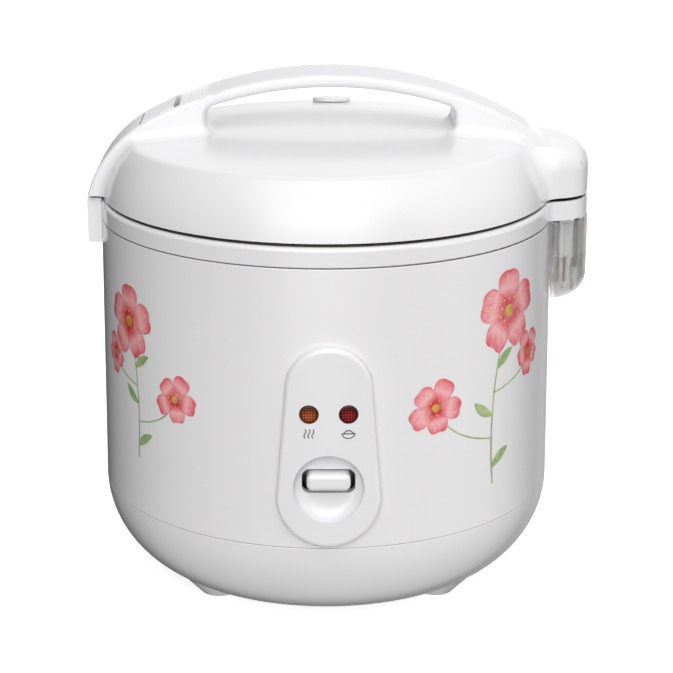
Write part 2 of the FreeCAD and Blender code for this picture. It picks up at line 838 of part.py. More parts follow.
def hinge_pin():
    """Steel pin of the lid hinge."""
    return cross_pin(PIN_R, PIN_L - 2 * SLIP, PIN_X, PIN_Z)


def hinge_spring():
    """Torsion spring round the hinge pin, as its outer sleeve."""
    solid = cross_pin(HINGE_SPRING_R, HINGE_SPRING_L, PIN_X, PIN_Z)
    return solid.cut(cross_pin(PIN_R + SLIP, HINGE_SPRING_L, PIN_X, PIN_Z))


def dew_cup(inset):
    """Filled form of the dew collector, smaller by an inset."""
    reach = HINGE_X - inset
    width = DEW_W - 2 * inset
    low = RING_Z - GAP - DEW_H + inset
    corner = DEW_CORNER_R - inset
    root = BODY_R - DEW_ROOT_IN
    solid = upright(hinge_plan(width, reach, corner, root), low, RING_Z - GAP)
    lower = edges_where(solid, lambda p: abs(p.z - low) < 1e-3 and p.x > root + 1e-3)
    solid = solid.makeFillet(DEW_LOW_R - inset, lower)
    return solid.cut(rod(shell_radius(low) + DEW_STAND + inset, (0, 0, 0), (0, 0, CROWN_Z)))


def dew_collector():
    """Clear cup, open at the top, that hangs under the hinge tongue and hugs the body."""
    inside = dew_cup(DEW_T)
    lift = inside.copy()
    lift.translate(V(0, 0, DEW_H / 2))
    return one(dew_cup(0).cut(inside.fuse(lift)))


# Control panel, lamps and lever
def panel_outline():
    """Front outline (x, z): a half round foot, straight sides that lean in, a half round top."""
    low = SEAM_Z + PANEL_LOW
    half_low, half_top = PANEL_W_LOW / 2, PANEL_W_TOP / 2
    z_low, z_top = low + half_low * PANEL_LOW_BULGE, low + PANEL_H - half_top * PANEL_TOP_BULGE
    return [
        (-half_low, z_low), via((0, low)), (half_low, z_low), (half_top, z_top),
        via((0, low + PANEL_H)), (-half_top, z_top)]


def panel_plate():
    """The panel's raised front, curved with the body, its front edge rounded."""
    solid = across(panel_outline(), 2 * THROUGH)
    solid.translate(V(0, -BODY_R, 0))
    solid = solid.common(rod(PANEL_R, (0, 0, 0), (0, 0, CROWN_Z))).cut(body_core(SLIP))
    front = edges_where(solid, lambda p: abs(math.hypot(p.x, p.y) - PANEL_R) < 1e-3)
    return solid.makeFillet(PANEL_EDGE_R, front)


def board_post_levels():
    """Levels of the two posts that carry the lamp board."""
    return (LENS_Z - BOARD_POST_PITCH / 2, LENS_Z + BOARD_POST_PITCH / 2)


def dish_form():
    """Filled form of the round dish: a short straight wall, then a large round down to a flat floor."""
    floor_y, z = -PANEL_R + DISH_DEPTH, SEAM_Z + DISH_UP
    solid = rod(DISH_D / 2, (0, -PANEL_R - THROUGH, z), (0, floor_y, z))
    return solid.makeFillet(DISH_FLOOR_R, edges_where(solid, lambda p: abs(p.y - floor_y) < 1e-3))


def control_panel():
    """Panel with a dish and a slot for the lever, two lens holes, a back through the body, two posts."""
    back = panel_window(0).common(tube(PANEL_R - PANEL_BACK_TUCK, WINDOW_R, (0, 0, 0), (0, 0, CROWN_Z)))
    posts = []
    for z in board_post_levels():
        posts.append(rod(BOARD_POST_R, (0, -WINDOW_R - BOARD_POST_BITE, z), (0, board_front(), z)))
    solid = panel_plate().fuse([back] + posts)
    solid = solid.cut(dish_form())
    half_w, half_h, z = SLOT_W / 2, SLOT_H / 2, SEAM_Z + SLOT_UP
    slot = across([
        (-half_w, z - half_h, SLOT_CORNER_R), (half_w, z - half_h, SLOT_CORNER_R),
        (half_w, z + half_h, SLOT_CORNER_R), (-half_w, z + half_h, SLOT_CORNER_R)], 2 * THROUGH)
    slot.translate(V(0, -BODY_R, 0))
    solid = solid.cut(slot)
    for x in (-LENS_PITCH / 2, LENS_PITCH / 2):
        solid = solid.cut(rod(LENS_D / 2, (x, -PANEL_R - THROUGH, LENS_Z), (x, 0, LENS_Z)))
    for z in board_post_levels():
        bite_y = -WINDOW_R - BOARD_SCREW_BITE - CUT_OVER
        solid = solid.cut(rod(BOARD_SCREW_R + RUN, (0, bite_y, z), (0, 0, z)))
    return one(solid)


def lens(x):
    """Round coloured lens with a flange behind the panel and a bore for its lamp."""
    back = -WINDOW_R + LENS_FLANGE
    front = -math.sqrt(PANEL_R ** 2 - x ** 2) - LENS_PROUD
    solid = rod(LENS_D / 2 - RUN, (x, back, LENS_Z), (x, front, LENS_Z))
    solid = solid.makeFillet(LENS_EDGE_R, edges_where(solid, lambda p: abs(p.y - front) < 1e-3))
    flange = rod(LENS_D / 2 + LENS_FLANGE, (x, back, LENS_Z), (x, back + LENS_FLANGE_T, LENS_Z))
    bore = rod(LAMP_R + LENS_BORE_ROOM, (x, front + LENS_FRONT_T, LENS_Z), (x, 0, LENS_Z))
    return one(solid.fuse(flange).cut(bore))


def board_front():
    """Y of the lamp board's front face."""
    return -WINDOW_R + BOARD_BACK


def lamp_board():
    """Circuit board behind the lenses."""
    half_w, half_h = BOARD_SIZE[0] / 2, BOARD_SIZE[2] / 2
    solid = box(
        (-half_w, board_front(), LENS_Z - half_h), (half_w, board_front() + BOARD_SIZE[1], LENS_Z + half_h))
    for z in board_post_levels():
        solid = solid.cut(rod(BOARD_SCREW_R + RUN, (0, -PANEL_R, z), (0, 0, z)))
    return solid


def lamp(x):
    """Small lamp that stands on the board inside its lens."""
    tip = -PANEL_R + LAMP_IN
    solid = rod(LAMP_R, (x, board_front(), LENS_Z), (x, tip, LENS_Z))
    return solid.makeFillet(LAMP_R * LAMP_ROUND, edges_where(solid, lambda p: abs(p.y - tip) < 1e-3))


def board_screws():
    """Two screws that hold the lamp board to the panel's posts."""
    back = board_front() + BOARD_SIZE[1]
    parts = []
    for z in board_post_levels():
        head = rod(BOARD_SCREW_HEAD_R, (0, back, z), (0, back + BOARD_SCREW_HEAD_H, z))
        shank = rod(BOARD_SCREW_R, (0, -WINDOW_R - BOARD_SCREW_BITE, z), (0, back + CUT_OVER, z))
        parts.append(head.fuse(shank).removeSplitter())
    return Part.makeCompound(parts)


def cook_lever():
    """White lever head that shows in the panel's slot, rounded in front."""
    back = -WINDOW_R + KNOB_BACK
    front = -PANEL_R - KNOB_OUT
    solid = box((-KNOB_W / 2, front, KNOB_Z - KNOB_H / 2), (KNOB_W / 2, back, KNOB_Z + KNOB_H / 2))
    middle = (front + back) / 2
    solid = solid.makeFillet(KNOB_CORNER_R, edges_where(
        solid, lambda p: abs(p.y - middle) < 1e-3 and abs(abs(p.x) - KNOB_W / 2) < 1e-3))
    return solid.makeFillet(KNOB_EDGE_R, edges_where(solid, lambda p: abs(p.y - front) < 1e-3))


def lever_arm():
    """Bent steel strap from the lever head, over its pivot, to under the magnet rod."""
    t = LEVER_STRAP_T
    head_y = -WINDOW_R + KNOB_BACK
    foot_z = SENSOR_Z - ROD_TAIL - GAP
    strap = along([
        (head_y, LEVER_Z - t / 2), (head_y + t, LEVER_Z + t / 2), (LEVER_Y, LEVER_Z + t / 2),
        (LEVER_Y, LEVER_Z - t / 2)], LEVER_STRAP_W)
    head_z = KNOB_Z + KNOB_H / 2 - LEVER_HEAD_STEP
    riser = along([
        (head_y, LEVER_Z - t / 2), (head_y + t, LEVER_Z - t / 2), (head_y + t, head_z), (head_y, head_z)],
        LEVER_STRAP_W)
    bend_y = LEVER_Y + LEVER_BEND
    ramp = along([
        (LEVER_Y, LEVER_Z + t / 2), (LEVER_Y, LEVER_Z - t), (bend_y, foot_z - t), (bend_y, foot_z)],
        LEVER_STRAP_W)
    lap_y = bend_y - LEVER_LAP
    tail = along([
        (lap_y, foot_z - t), (LEVER_TAIL, foot_z - t), (LEVER_TAIL, foot_z), (lap_y, foot_z)],
        LEVER_STRAP_W / 2)
    eye = rod(LEVER_EYE_R, (-LEVER_STRAP_W / 2, LEVER_Y, LEVER_Z), (LEVER_STRAP_W / 2, LEVER_Y, LEVER_Z))
    bore = rod(LEVER_PIN_R + RUN, (-EAR_GAP, LEVER_Y, LEVER_Z), (EAR_GAP, LEVER_Y, LEVER_Z))
    return one(strap.fuse([riser, ramp, tail, eye]).cut(bore))


def lever_pin():
    """Pin that the lever turns on."""
    half = EAR_GAP / 2 + EAR_T + LEVER_PIN_PROUD
    return rod(LEVER_PIN_R, (-half, LEVER_Y, LEVER_Z), (half, LEVER_Y, LEVER_Z))


def switch_bracket():
    """Bracket under the inner can with two ears for the lever's pin."""
    half = EAR_GAP / 2 + EAR_T
    front, back = LEVER_Y - BRACKET_L / 2, LEVER_Y + BRACKET_L / 2
    top = box((-half, front, CAN_Z - EAR_T), (half, back, CAN_Z))
    ears = []
    for x in (-half, half - EAR_T):
        ears.append(box((x, front, LEVER_Z - BRACKET_DROP), (x + EAR_T, back, CAN_Z)))
    bore = rod(LEVER_PIN_R + RUN, (-half - CUT_OVER, LEVER_Y, LEVER_Z), (half + CUT_OVER, LEVER_Y, LEVER_Z))
    return one(top.fuse(ears).cut(bore))


def micro_switch():
    """Switch that the lever works, fixed to the bracket's ear."""
    ear_x = EAR_GAP / 2 + EAR_T
    x, y = ear_x + SWITCH_STAND, LEVER_Y + SWITCH_OFF
    w, d, h = SWITCH_SIZE
    body = box((x, y, CAN_Z - h), (x + w, y + d, CAN_Z))
    w, d, h = STEM_SIZE
    y, z = LEVER_Y + STEM_OFF, CAN_Z - STEM_DROP
    stem = box((ear_x, y, z - h), (x + w, y + d, z))
    return one(body.fuse(stem))


# Heater, pot and sensor
def can_screw_places():
    """Plan places of the heater's screws."""
    return [around(HEATER_SCREW_R, 360.0 * step / HEATER_SCREWS) for step in range(HEATER_SCREWS)]


def inner_can():
    """Sheet can round the pot, hung from the ring, with a floor that carries the heater."""
    flange_r = BODY_R - SHELL_FLANGE_W - CAN_FLANGE_ROOM
    solid = turned([
        (CAN_R, RING_Z), (flange_r, RING_Z), (flange_r, RING_Z - CAN_T), (CAN_R + CAN_T, RING_Z - CAN_T),
        (CAN_R + CAN_T, CAN_Z), (HEATER_OPEN_R, CAN_Z), (HEATER_OPEN_R, HEATER_Z), (CAN_R, HEATER_Z)])
    for x, y in can_screw_places():
        solid = solid.cut(rod(SCREW_R + RUN, (x, y, CAN_Z - CUT_OVER), (x, y, HEATER_Z + CUT_OVER)))
    for angle in BOSS_ANGLES:
        x, y = around(BOSS_PITCH_R, angle)
        solid = solid.cut(rod(SCREW_R + RUN, (x, y, CAN_Z - CUT_OVER), (x, y, HEATER_Z + CUT_OVER)))
    return one(solid)


def keep_warm_band():
    """Heating band round the inner can."""
    low = HEATER_Z + WARM_BAND_UP
    inner = CAN_R + CAN_T + RUN
    return tube(inner + WARM_BAND_T, inner, (0, 0, low), (0, 0, low + WARM_BAND_H))


def heater_element():
    """Tubular element cast into the heater's rib, its two ends turned down at the back."""
    ring = Part.makeTorus(RIB_R, TUBE_R, V(0, 0, TUBE_Z), Z_AXIS, -180, 180, 360 - TUBE_GAP_DEG)
    ring.rotate(V(0, 0, 0), Z_AXIS, 90 + TUBE_GAP_DEG / 2)
    ends = []
    for side in (-1, 1):
        x, y = around(RIB_R, 90 + side * TUBE_GAP_DEG / 2)
        ends.append(Part.makeSphere(TUBE_R, V(x, y, TUBE_Z)))
        ends.append(rod(TUBE_END_R, (x, y, TUBE_Z - TUBE_LEG), (x, y, TUBE_Z)))
    return one(ring.fuse(ends))


def heater_plate():
    """Cast disc with a rib below for the element and a hole for the sensor."""
    rib_in, rib_out = RIB_R - RIB_W / 2, RIB_R + RIB_W / 2
    solid = turned([
        (SENSOR_HOLE_R, HEATER_Z), (rib_in, HEATER_Z), (rib_in, RIB_Z), (rib_out, RIB_Z), (rib_out, HEATER_Z),
        (HEATER_R, HEATER_Z), (HEATER_R, POT_Z), (SENSOR_HOLE_R, POT_Z)])
    for x, y in can_screw_places():
        solid = solid.cut(rod(SCREW_R + RUN, (x, y, CAN_Z), (x, y, HEATER_Z + HEATER_BITE + SLIP)))
    return one(solid.cut(heater_element()))


def heater_screws():
    """Screws that hold the heater to the can's floor."""
    parts = []
    for x, y in can_screw_places():
        head = rod(SCREW_HEAD_R, (x, y, CAN_Z - SCREW_HEAD_H), (x, y, CAN_Z))
        shank = rod(SCREW_R, (x, y, CAN_Z - CUT_OVER), (x, y, HEATER_Z + HEATER_BITE))
        parts.append(head.fuse(shank).removeSplitter())
    return Part.makeCompound(parts)


def inner_pot():
    """Pot with a round lower corner and a rim that sits on the ring."""
    inner = POT_R - POT_T
    return one(turned([
        (0, POT_Z), (POT_R, POT_Z, POT_CORNER_R), (POT_R, SEAT_Z), (POT_RIM_R, SEAT_Z),
        (POT_RIM_R, SEAT_Z + POT_T), (inner, SEAT_Z + POT_T), (inner, POT_Z + POT_T, POT_CORNER_R - POT_T),
        (0, POT_Z + POT_T)]))


def sensor_cap():
    """Sprung metal cap that touches the pot's underside."""
    top = POT_Z - SLIP
    inner = SENSOR_CAP_R - SENSOR_CAP_T
    return one(turned([
        (0, top - SENSOR_CAP_T), (inner, top - SENSOR_CAP_T), (inner, top - SENSOR_CAP_H),
        (SENSOR_CAP_R, top - SENSOR_CAP_H), (SENSOR_CAP_R, top, SENSOR_CAP_EDGE_R), (0, top)]))


def sensor_ferrite():
    """Ferrite slug under the sensor cap, which lets go of the magnet when it is hot."""
    top = POT_Z - SLIP - SENSOR_CAP_T
    return rod(MAGNET_R, (0, 0, top - MAGNET_H), (0, 0, top))


def sensor_housing():
    """Guide tube of the sensor on a flange, with three posts up to the heater."""
    flange_top = SENSOR_Z + SENSOR_FLANGE_T
    tube_top = POT_Z - SLIP - SENSOR_CAP_T - SENSOR_TRAVEL - GAP
    wall = tube(SENSOR_TUBE_R, SENSOR_TUBE_R - SENSOR_TUBE_T, (0, 0, SENSOR_Z), (0, 0, tube_top))
    flange = tube(SENSOR_FLANGE_R, ROD_R + SLIP, (0, 0, SENSOR_Z), (0, 0, flange_top))
    posts = []
    for step in range(POST_COUNT):
        x, y = around(POST_PITCH_R, POST_TURN + 360.0 * step / POST_COUNT)
        posts.append(rod(POST_R, (x, y, SENSOR_Z), (x, y, HEATER_Z)))
    return one(wall.fuse([flange] + posts))


def sensor_spring():
    """Spring that holds the sensor cap up, as its outer sleeve."""
    outer = SENSOR_TUBE_R - SENSOR_TUBE_T - GAP
    low, high = SENSOR_Z + SENSOR_FLANGE_T, POT_Z - SLIP - SENSOR_CAP_T
    return tube(outer, outer - SPRING_WIRE, (0, 0, low), (0, 0, high))


def magnet_top():
    """Level of the magnet's top with the lever up."""
    return POT_Z - SLIP - SENSOR_CAP_T - MAGNET_H - MAGNET_TRAVEL - SENSOR_TRAVEL - GAP


def magnet():
    """Magnet that the cook lever lifts to the ferrite."""
    return rod(MAGNET_R, (0, 0, magnet_top() - MAGNET_H), (0, 0, magnet_top()))


def magnet_rod():
    """Rod under the magnet that the lever arm pushes up."""
    return rod(ROD_R, (0, 0, SENSOR_Z - ROD_TAIL), (0, 0, magnet_top() - MAGNET_H))


# Mains parts
def power_inlet():
    """Inlet socket in the back of the body with a flange outside."""
    half_w, half_h = INLET_W / 2 + INLET_FLANGE, INLET_H / 2 + INLET_FLANGE
    face_y = shell_radius(INLET_Z) + INLET_PROUD
    flange = across([
        (-half_w, INLET_Z - half_h, INLET_CORNER_R), (half_w, INLET_Z - half_h, INLET_CORNER_R),
        (half_w, INLET_Z + half_h, INLET_CORNER_R), (-half_w, INLET_Z + half_h, INLET_CORNER_R)],
        2 * (face_y - INLET_Y))
    flange.translate(V(0, face_y, 0))
    behind = box((-half_w, 0, 0), (half_w, face_y, CROWN_Z))
    flange = flange.cut(body_core(SLIP)).common(behind)
    body = inlet_box(0).common(behind)
    solid = flange.fuse(body)
    in_w, in_h = INLET_W / 2 - INLET_WALL, INLET_H / 2 - INLET_WALL
    back = INLET_Y + INLET_WALL
    solid = solid.cut(box((-in_w, back, INLET_Z - in_h), (in_w, face_y + CUT_OVER, INLET_Z + in_h)))
    for blade in blade_boxes(0):
        solid = solid.cut(blade)
    return one(solid)


def blade_boxes(stand):
    """Three flat blades through the inlet's back wall, larger by a stand-off."""
    half_w, half_h = BLADE_SIZE[0] / 2 + stand, BLADE_SIZE[1] / 2 + stand
    z = INLET_Z - INLET_H / 2 + INLET_WALL + BLADE_UP
    back = INLET_Y - BLADE_TAIL
    front = shell_radius(INLET_Z) - BLADE_SHORT
    blades = []
    for x in (-BLADE_PITCH, 0, BLADE_PITCH):
        blades.append(box((x - half_w, back, z - half_h), (x + half_w, front, z + half_h)))
    return blades


def inlet_blades():
    """The inlet's three contact blades."""
    return Part.makeCompound(blade_boxes(0))


def terminal_block():
    """Ceramic terminal block on the base's floor, with a slot for each wire."""
    w, d, h = TERMINAL_SIZE
    solid = box((-w / 2, TERMINAL_Y - d / 2, FLOOR_Z), (w / 2, TERMINAL_Y + d / 2, FLOOR_Z + h))
    for step in (-1, 0, 1):
        x = step * w / 3
        front, back = (x, TERMINAL_Y - d, FLOOR_Z + h / 2), (x, TERMINAL_Y + d, FLOOR_Z + h / 2)
        solid = solid.cut(rod(TERMINAL_BORE_R, front, back))
    return solid


def thermal_fuse():
    """Thermal fuse held against the heater's underside."""
    x = -(RIB_R + RIB_W / 2 + FUSE_R + FUSE_ROOM)
    z = HEATER_Z - FUSE_R - SLIP
    return rod(FUSE_R, (x, -FUSE_L / 2, z), (x, FUSE_L / 2, z))


# Lid
def handle_form():
    """Handle as one bar: a leg at the left, an arch, and a root at the right, with the hand opening."""
    leg = (LEG_X, LEG_Z)
    shoulder = (SHOULDER_X, arch_height(SHOULDER_X))
    root_z = LID_Z + ROOT_LOW
    solid = across([
        (-CREASE_R + HANDLE_ROOT_IN, LEG_Z), leg, via(bow(leg, shoulder, -LEG_BOW)), shoulder,
        via((ARCH_X, GRIP_Z)), (ROOT_X, arch_height(ROOT_X)), (ROOT_X, root_z),
        (CREASE_R - HANDLE_ROOT_IN, root_z)], HANDLE_W)
    solid = solid.cut(hand_opening())
    side = HANDLE_W / 2
    solid = solid.makeFillet(OPENING_EDGE_R, edges_where(solid, lambda p: (
        abs(abs(p.y) - side) < 1e-3 and OPENING_LEFT - 1e-3 <= p.x <= OPENING_RIGHT + 1e-3
        and CREASE_Z - OPENING_EDGE_DROP < p.z < arch_height(p.x) - HANDLE_T / 3)))
    return solid.makeFillet(HANDLE_EDGE_R, edges_where(solid, lambda p: (
        abs(abs(p.y) - side) < 1e-3
        and abs(math.hypot(p.x - ARCH_X, p.z - ARCH_Z) - ARCH_R) < EDGE_NEAR)))


def opening_corner(x, side):
    """Corner arc of the hand opening between its end wall and the arch's underside."""
    under_r = ARCH_R - HANDLE_T
    cx = x + side * OPENING_CORNER_R
    cz = ARCH_Z + math.sqrt((under_r - OPENING_CORNER_R) ** 2 - (cx - ARCH_X) ** 2)
    out = under_r / (under_r - OPENING_CORNER_R)
    wall = (x, cz)
    arch = (ARCH_X + (cx - ARCH_X) * out, ARCH_Z + (cz - ARCH_Z) * out)
    ma, mb = wall[0] + arch[0] - 2 * cx, wall[1] + arch[1] - 2 * cz
    size = math.hypot(ma, mb)
    return wall, (cx + ma / size * OPENING_CORNER_R, cz + mb / size * OPENING_CORNER_R), arch


def hand_opening():
    """The space under the handle's arch, open down to the lid."""
    left, left_mid, left_arch = opening_corner(OPENING_LEFT, 1)
    right, right_mid, right_arch = opening_corner(OPENING_RIGHT, -1)
    low = CREASE_Z - OPENING_DROP
    return across([
        (OPENING_LEFT, low), left, via(left_mid), left_arch, via((ARCH_X, GRIP_Z - HANDLE_T)), right_arch,
        via(right_mid), right, (OPENING_RIGHT, low)], HANDLE_W + THROUGH)


def handle_on_dome():
    """Dome and handle joined, with a soft flare where they meet."""
    solid = DOME.fuse(handle_form()).removeSplitter()
    side = HANDLE_W / 2

    def meets_dome(p):
        on_side = abs(abs(p.y) - side) < 1e-3 and LEG_Z + EDGE_NEAR < p.z < CROWN_Z
        reach = math.hypot(p.x, p.y)
        on_crown = reach < CREASE_R and abs(p.z - crown_height(min(reach, CREASE_R))) < EDGE_NEAR
        at_leg = on_side and reach > CREASE_R - FLARE_REACH and gap_to(DOME, p) < EDGE_NEAR
        over_hand = OPENING_LEFT + CUT_OVER < p.x < OPENING_RIGHT - CUT_OVER
        return (on_crown and not over_hand and abs(p.y) <= side + 1e-3) or at_leg

    return solid.makeFillet(FLARE_R, edges_where(solid, meets_dome))


DOME = dome(0, CREASE_ROUND)


def gap_to(solid, point):
    """Distance from a point to a solid's surface."""
    return solid.Shells[0].distToShape(Part.Vertex(point))[0]


def hinge_block():
    """Block on the lid over the hinge tongue, with a large round along its top."""
    solid = upright(hinge_plan(HINGE_W, HINGE_X, HINGE_CORNER_R, HINGE_ROOT_X), LID_Z, BLOCK_TOP_Z)
    upper = edges_where(solid, lambda p: abs(p.z - BLOCK_TOP_Z) < 1e-3 and p.x > HINGE_ROOT_X + 1e-3)
    return solid.makeFillet(HINGE_TOP_R, upper)


def hinge_on_dome():
    """Hinge block on a dome sunk a little below the lid's own, with a soft blend where they meet."""
    block = hinge_block()
    low = dome(BLEND_SINK, CREASE_ROUND)
    solid = low.fuse(block).removeSplitter()

    def meets_block(p):
        near = max(gap_to(low, p), gap_to(block, p))
        return p.z > LID_Z + EDGE_NEAR and near < BLEND_SINK / 2

    return solid.makeFillet(BLEND_R, edges_where(solid, meets_block))


def ear_slots():
    """Slots in the hinge block that the ring's ears turn in."""
    slots = []
    for side in (-1, 1):
        y = side * EAR_PITCH / 2
        half = EAR_W / 2 + EAR_SIDE_ROOM
        slots.append(box(
            (PIN_X - EAR_R - ROOM, y - half, LID_Z - CUT_OVER),
            (HINGE_X + THROUGH, y + half, PIN_Z + EAR_R + ROOM)))
    return slots


def cap_form(left, right, thick):
    """Strip along the top of the handle's arch."""
    low_r = ARCH_R - thick
    mid = (left + right) / 2
    return across([
        (left, arch_height(left, low_r)), via((mid, arch_height(mid, low_r))),
        (right, arch_height(right, low_r)), (right, arch_height(right)),
        via((mid, arch_height(mid))), (left, arch_height(left))], CAP_W)


def handle_cap():
    """Cover strip on the handle's arch with rounded upper edges."""
    solid = cap_form(CAP_LEFT, CAP_RIGHT, CAP_T)
    upper = edges_where(solid, lambda p: (
        abs(abs(p.y) - CAP_W / 2) < 1e-3 and abs(p.z - arch_height(p.x)) < 1e-2))
    return solid.makeFillet(CAP_EDGE_R, upper)


def latch_pocket():
    """Room inside the left leg for the hook and the button's tail, with bores for their pins."""
    low, high = (LEG_X + POCKET_WALL, LEG_Z - CUT_OVER), shifted(BUTTON_PIVOT, POCKET_TOP_LEFT)
    wall_x = -LID_R - POCKET_STAND
    solid = across([
        low, via(bow(low, high, -POCKET_BOW)), high, shifted(BUTTON_PIVOT, POCKET_TOP_RIGHT),
        shifted(BUTTON_TIP, POCKET_TIP), shifted((HOOK_X, HOOK_Z), POCKET_HOOK),
        shifted((wall_x, LEG_Z), POCKET_FOOT), (wall_x, LEG_Z - CUT_OVER)], POCKET_W)
    eye = cross_pin(BUTTON_EYE_R + ROOM, POCKET_W, *BUTTON_PIVOT)
    pins = [cross_pin(LATCH_PIN_R + RUN, LATCH_PIN_L, HOOK_X, HOOK_Z)]
    pins.append(cross_pin(LATCH_PIN_R + RUN, LATCH_PIN_L, *BUTTON_PIVOT))
    half = BUTTON_W / 2 + BUTTON_SIDE_ROOM
    recess = box((RECESS_LEFT, -half, RECESS_Z), (RECESS_RIGHT, half, GRIP_Z))
    return solid.fuse([eye, recess] + pins)


def latch_lugs():
    """Lugs inside the lid that carry the hook's pin."""
    inner, outer = POCKET_W / 2, LATCH_PIN_L / 2 + LUG_WALL
    lugs = []
    for low, high in ((-outer, -inner), (inner, outer)):
        lugs.append(box((HOOK_X - LUG_R, low, HOOK_Z - LUG_R), (HOOK_X + LUG_RIGHT, high, HOOK_Z + LUG_R)))
    return lugs


def lid_screw_places():
    """Plan places of the screws between the lid's liner and its cover."""
    turns = [LID_SCREW_TURN + 360.0 * step / LID_SCREWS for step in range(LID_SCREWS)]
    return [around(GASKET_IN_R - LID_BOSS_IN, turn) for turn in turns]


def vent_place(solid):
    """Sets an upright shape on the crown at the steam vent, square to the crown there."""
    sphere_r = (CREASE_R ** 2 + CROWN_H ** 2) / (2 * CROWN_H)
    solid.rotate(V(0, 0, 0), V(1, 0, 0), -math.degrees(math.asin(VENT_Y / sphere_r)))
    solid.translate(V(VENT_X, VENT_Y, crown_height(math.hypot(VENT_X, VENT_Y))))
    return solid


def lid_cover():
    """Outer lid: dome, handle and hinge block in one moulding, hollow, cut for the latch and the vent."""
    hollow = dome(LID_T, CREASE_ROUND_IN)
    under = rod(LID_R - LID_T, (0, 0, LID_Z - CUT_OVER), (0, 0, LID_Z + SLIP))
    bosses = []
    for x, y in lid_screw_places():
        bosses.append(rod(LID_BOSS_R, (x, y, LINER_Z + LINER_T), (x, y, CROWN_Z)).common(DOME))
    solid = handle_on_dome().fuse(hinge_on_dome())
    solid = solid.cut(hollow.fuse(under)).fuse(bosses + [lug.common(DOME) for lug in latch_lugs()])
    solid = solid.cut(latch_pocket())
    for slot in ear_slots():
        solid = solid.cut(slot)
    solid = solid.cut(cross_pin(PIN_R + RUN, PIN_L, PIN_X, PIN_Z))
    solid = solid.cut(cross_pin(HINGE_SPRING_R + ROOM, HINGE_SPRING_L + 2 * GAP, PIN_X, PIN_Z))
    solid = solid.cut(cap_form(CAP_LEFT, CAP_RIGHT, CAP_T)).cut(cap_form(RECESS_RIGHT, CAP_LEFT, CAP_STEP))
    solid = solid.cut(vent_place(rod(VENT_STEM_R + GAP, (0, 0, -LID_T * 3), (0, 0, LID_T * 2))))
    for x, y in lid_screw_places():
        solid = solid.cut(rod(SCREW_R + RUN, (x, y, LINER_Z), (x, y, LINER_Z + LINER_T + SCREW_BITE + ROOM)))
    return solid.Solids[0]


def lid_liner():
    """Inner face of the lid with a skirt inside the ring and a hanger for the inner lid."""
    liner_r = LID_R - LID_T - 2 * GAP
    skirt_r = GASKET_R + SKIRT_ROOM + SKIRT_T
    solid = rod(liner_r, (0, 0, LINER_Z), (0, 0, LINER_Z + LINER_T))
    skirt = tube(skirt_r, skirt_r - SKIRT_T, (0, 0, LINER_Z - SKIRT_H), (0, 0, LINER_Z))
    hanger = rod(HANGER_R, (0, 0, PLATE_Z - HANGER_DROP), (0, 0, LINER_Z))
    solid = solid.fuse([skirt, hanger])
    low, high = LINER_Z - CUT_OVER, LINER_Z + LINER_T + CUT_OVER
    for x, y in lid_screw_places():
        solid = solid.cut(rod(SCREW_R + RUN, (x, y, low), (x, y, high)))
    return one(solid.cut(rod(STEAM_TUBE_R + SLIP, (VENT_X, VENT_Y, low), (VENT_X, VENT_Y, high))))


def lid_screws():
    """Screws up through the liner into the cover's bosses."""
    parts = []
    for x, y in lid_screw_places():
        head = rod(SCREW_HEAD_R, (x, y, LINER_Z - SCREW_HEAD_H), (x, y, LINER_Z))
        shank = rod(SCREW_R, (x, y, LINER_Z - CUT_OVER), (x, y, LINER_Z + LINER_T + SCREW_BITE))
        parts.append(head.fuse(shank).removeSplitter())
    return Part.makeCompound(parts)


def inner_lid_plate():
    """Removable metal plate over the pot with a steam hole."""
    solid = tube(PLATE_R, PLATE_HOLE_R, (0, 0, PLATE_Z), (0, 0, PLATE_Z + PLATE_T))
    low, high = PLATE_Z - CUT_OVER, PLATE_Z + PLATE_T + CUT_OVER
    hole_r = STEAM_TUBE_R - STEAM_TUBE_T
    return solid.cut(rod(hole_r, (VENT_X, VENT_Y, low), (VENT_X, VENT_Y, high)))


def lid_gasket():
    """Seal round the inner lid's edge, between the pot's rim and the liner."""
    low, high = SEAT_Z + POT_T + GAP, LINER_Z - SLIP
    lip = PLATE_R + SLIP
    return one(turned([
        (GASKET_IN_R, low + GASKET_LIP), (GASKET_R, low), (GASKET_R, high), (GASKET_IN_R, high),
        (GASKET_IN_R, PLATE_Z + PLATE_T + SLIP), (lip, PLATE_Z + PLATE_T + SLIP), (lip, PLATE_Z - SLIP),
        (GASKET_IN_R, PLATE_Z - SLIP)]))


def inner_lid_grommet():
    """Rubber grommet that holds the inner lid on the liner's hanger."""
    bore = HANGER_R + RUN
    neck = PLATE_HOLE_R - RUN
    low = PLATE_Z - GROMMET_LOW
    return one(turned([
        (bore, low), (GROMMET_R, low), (GROMMET_R, PLATE_Z - RUN), (neck, PLATE_Z - RUN),
        (neck, PLATE_Z + PLATE_T + RUN), (GROMMET_R, PLATE_Z + PLATE_T + RUN), (GROMMET_R, LINER_Z - SLIP),
        (bore, LINER_Z - SLIP)]))


def steam_tube():
    """Rubber tube that leads steam from the liner to the vent."""
    low, high = LINER_Z, LINER_Z + STEAM_TUBE_H
    solid = rod(STEAM_TUBE_R, (VENT_X, VENT_Y, low), (VENT_X, VENT_Y, high))
    top = low + LINER_T
    collar_r = STEAM_TUBE_R + STEAM_COLLAR_W
    collar = rod(collar_r, (VENT_X, VENT_Y, top), (VENT_X, VENT_Y, top + STEAM_COLLAR_T))
    bore_r = STEAM_TUBE_R - STEAM_TUBE_T
    bore = rod(bore_r, (VENT_X, VENT_Y, low - CUT_OVER), (VENT_X, VENT_Y, high + CUT_OVER))
    return one(solid.fuse(collar).cut(bore))


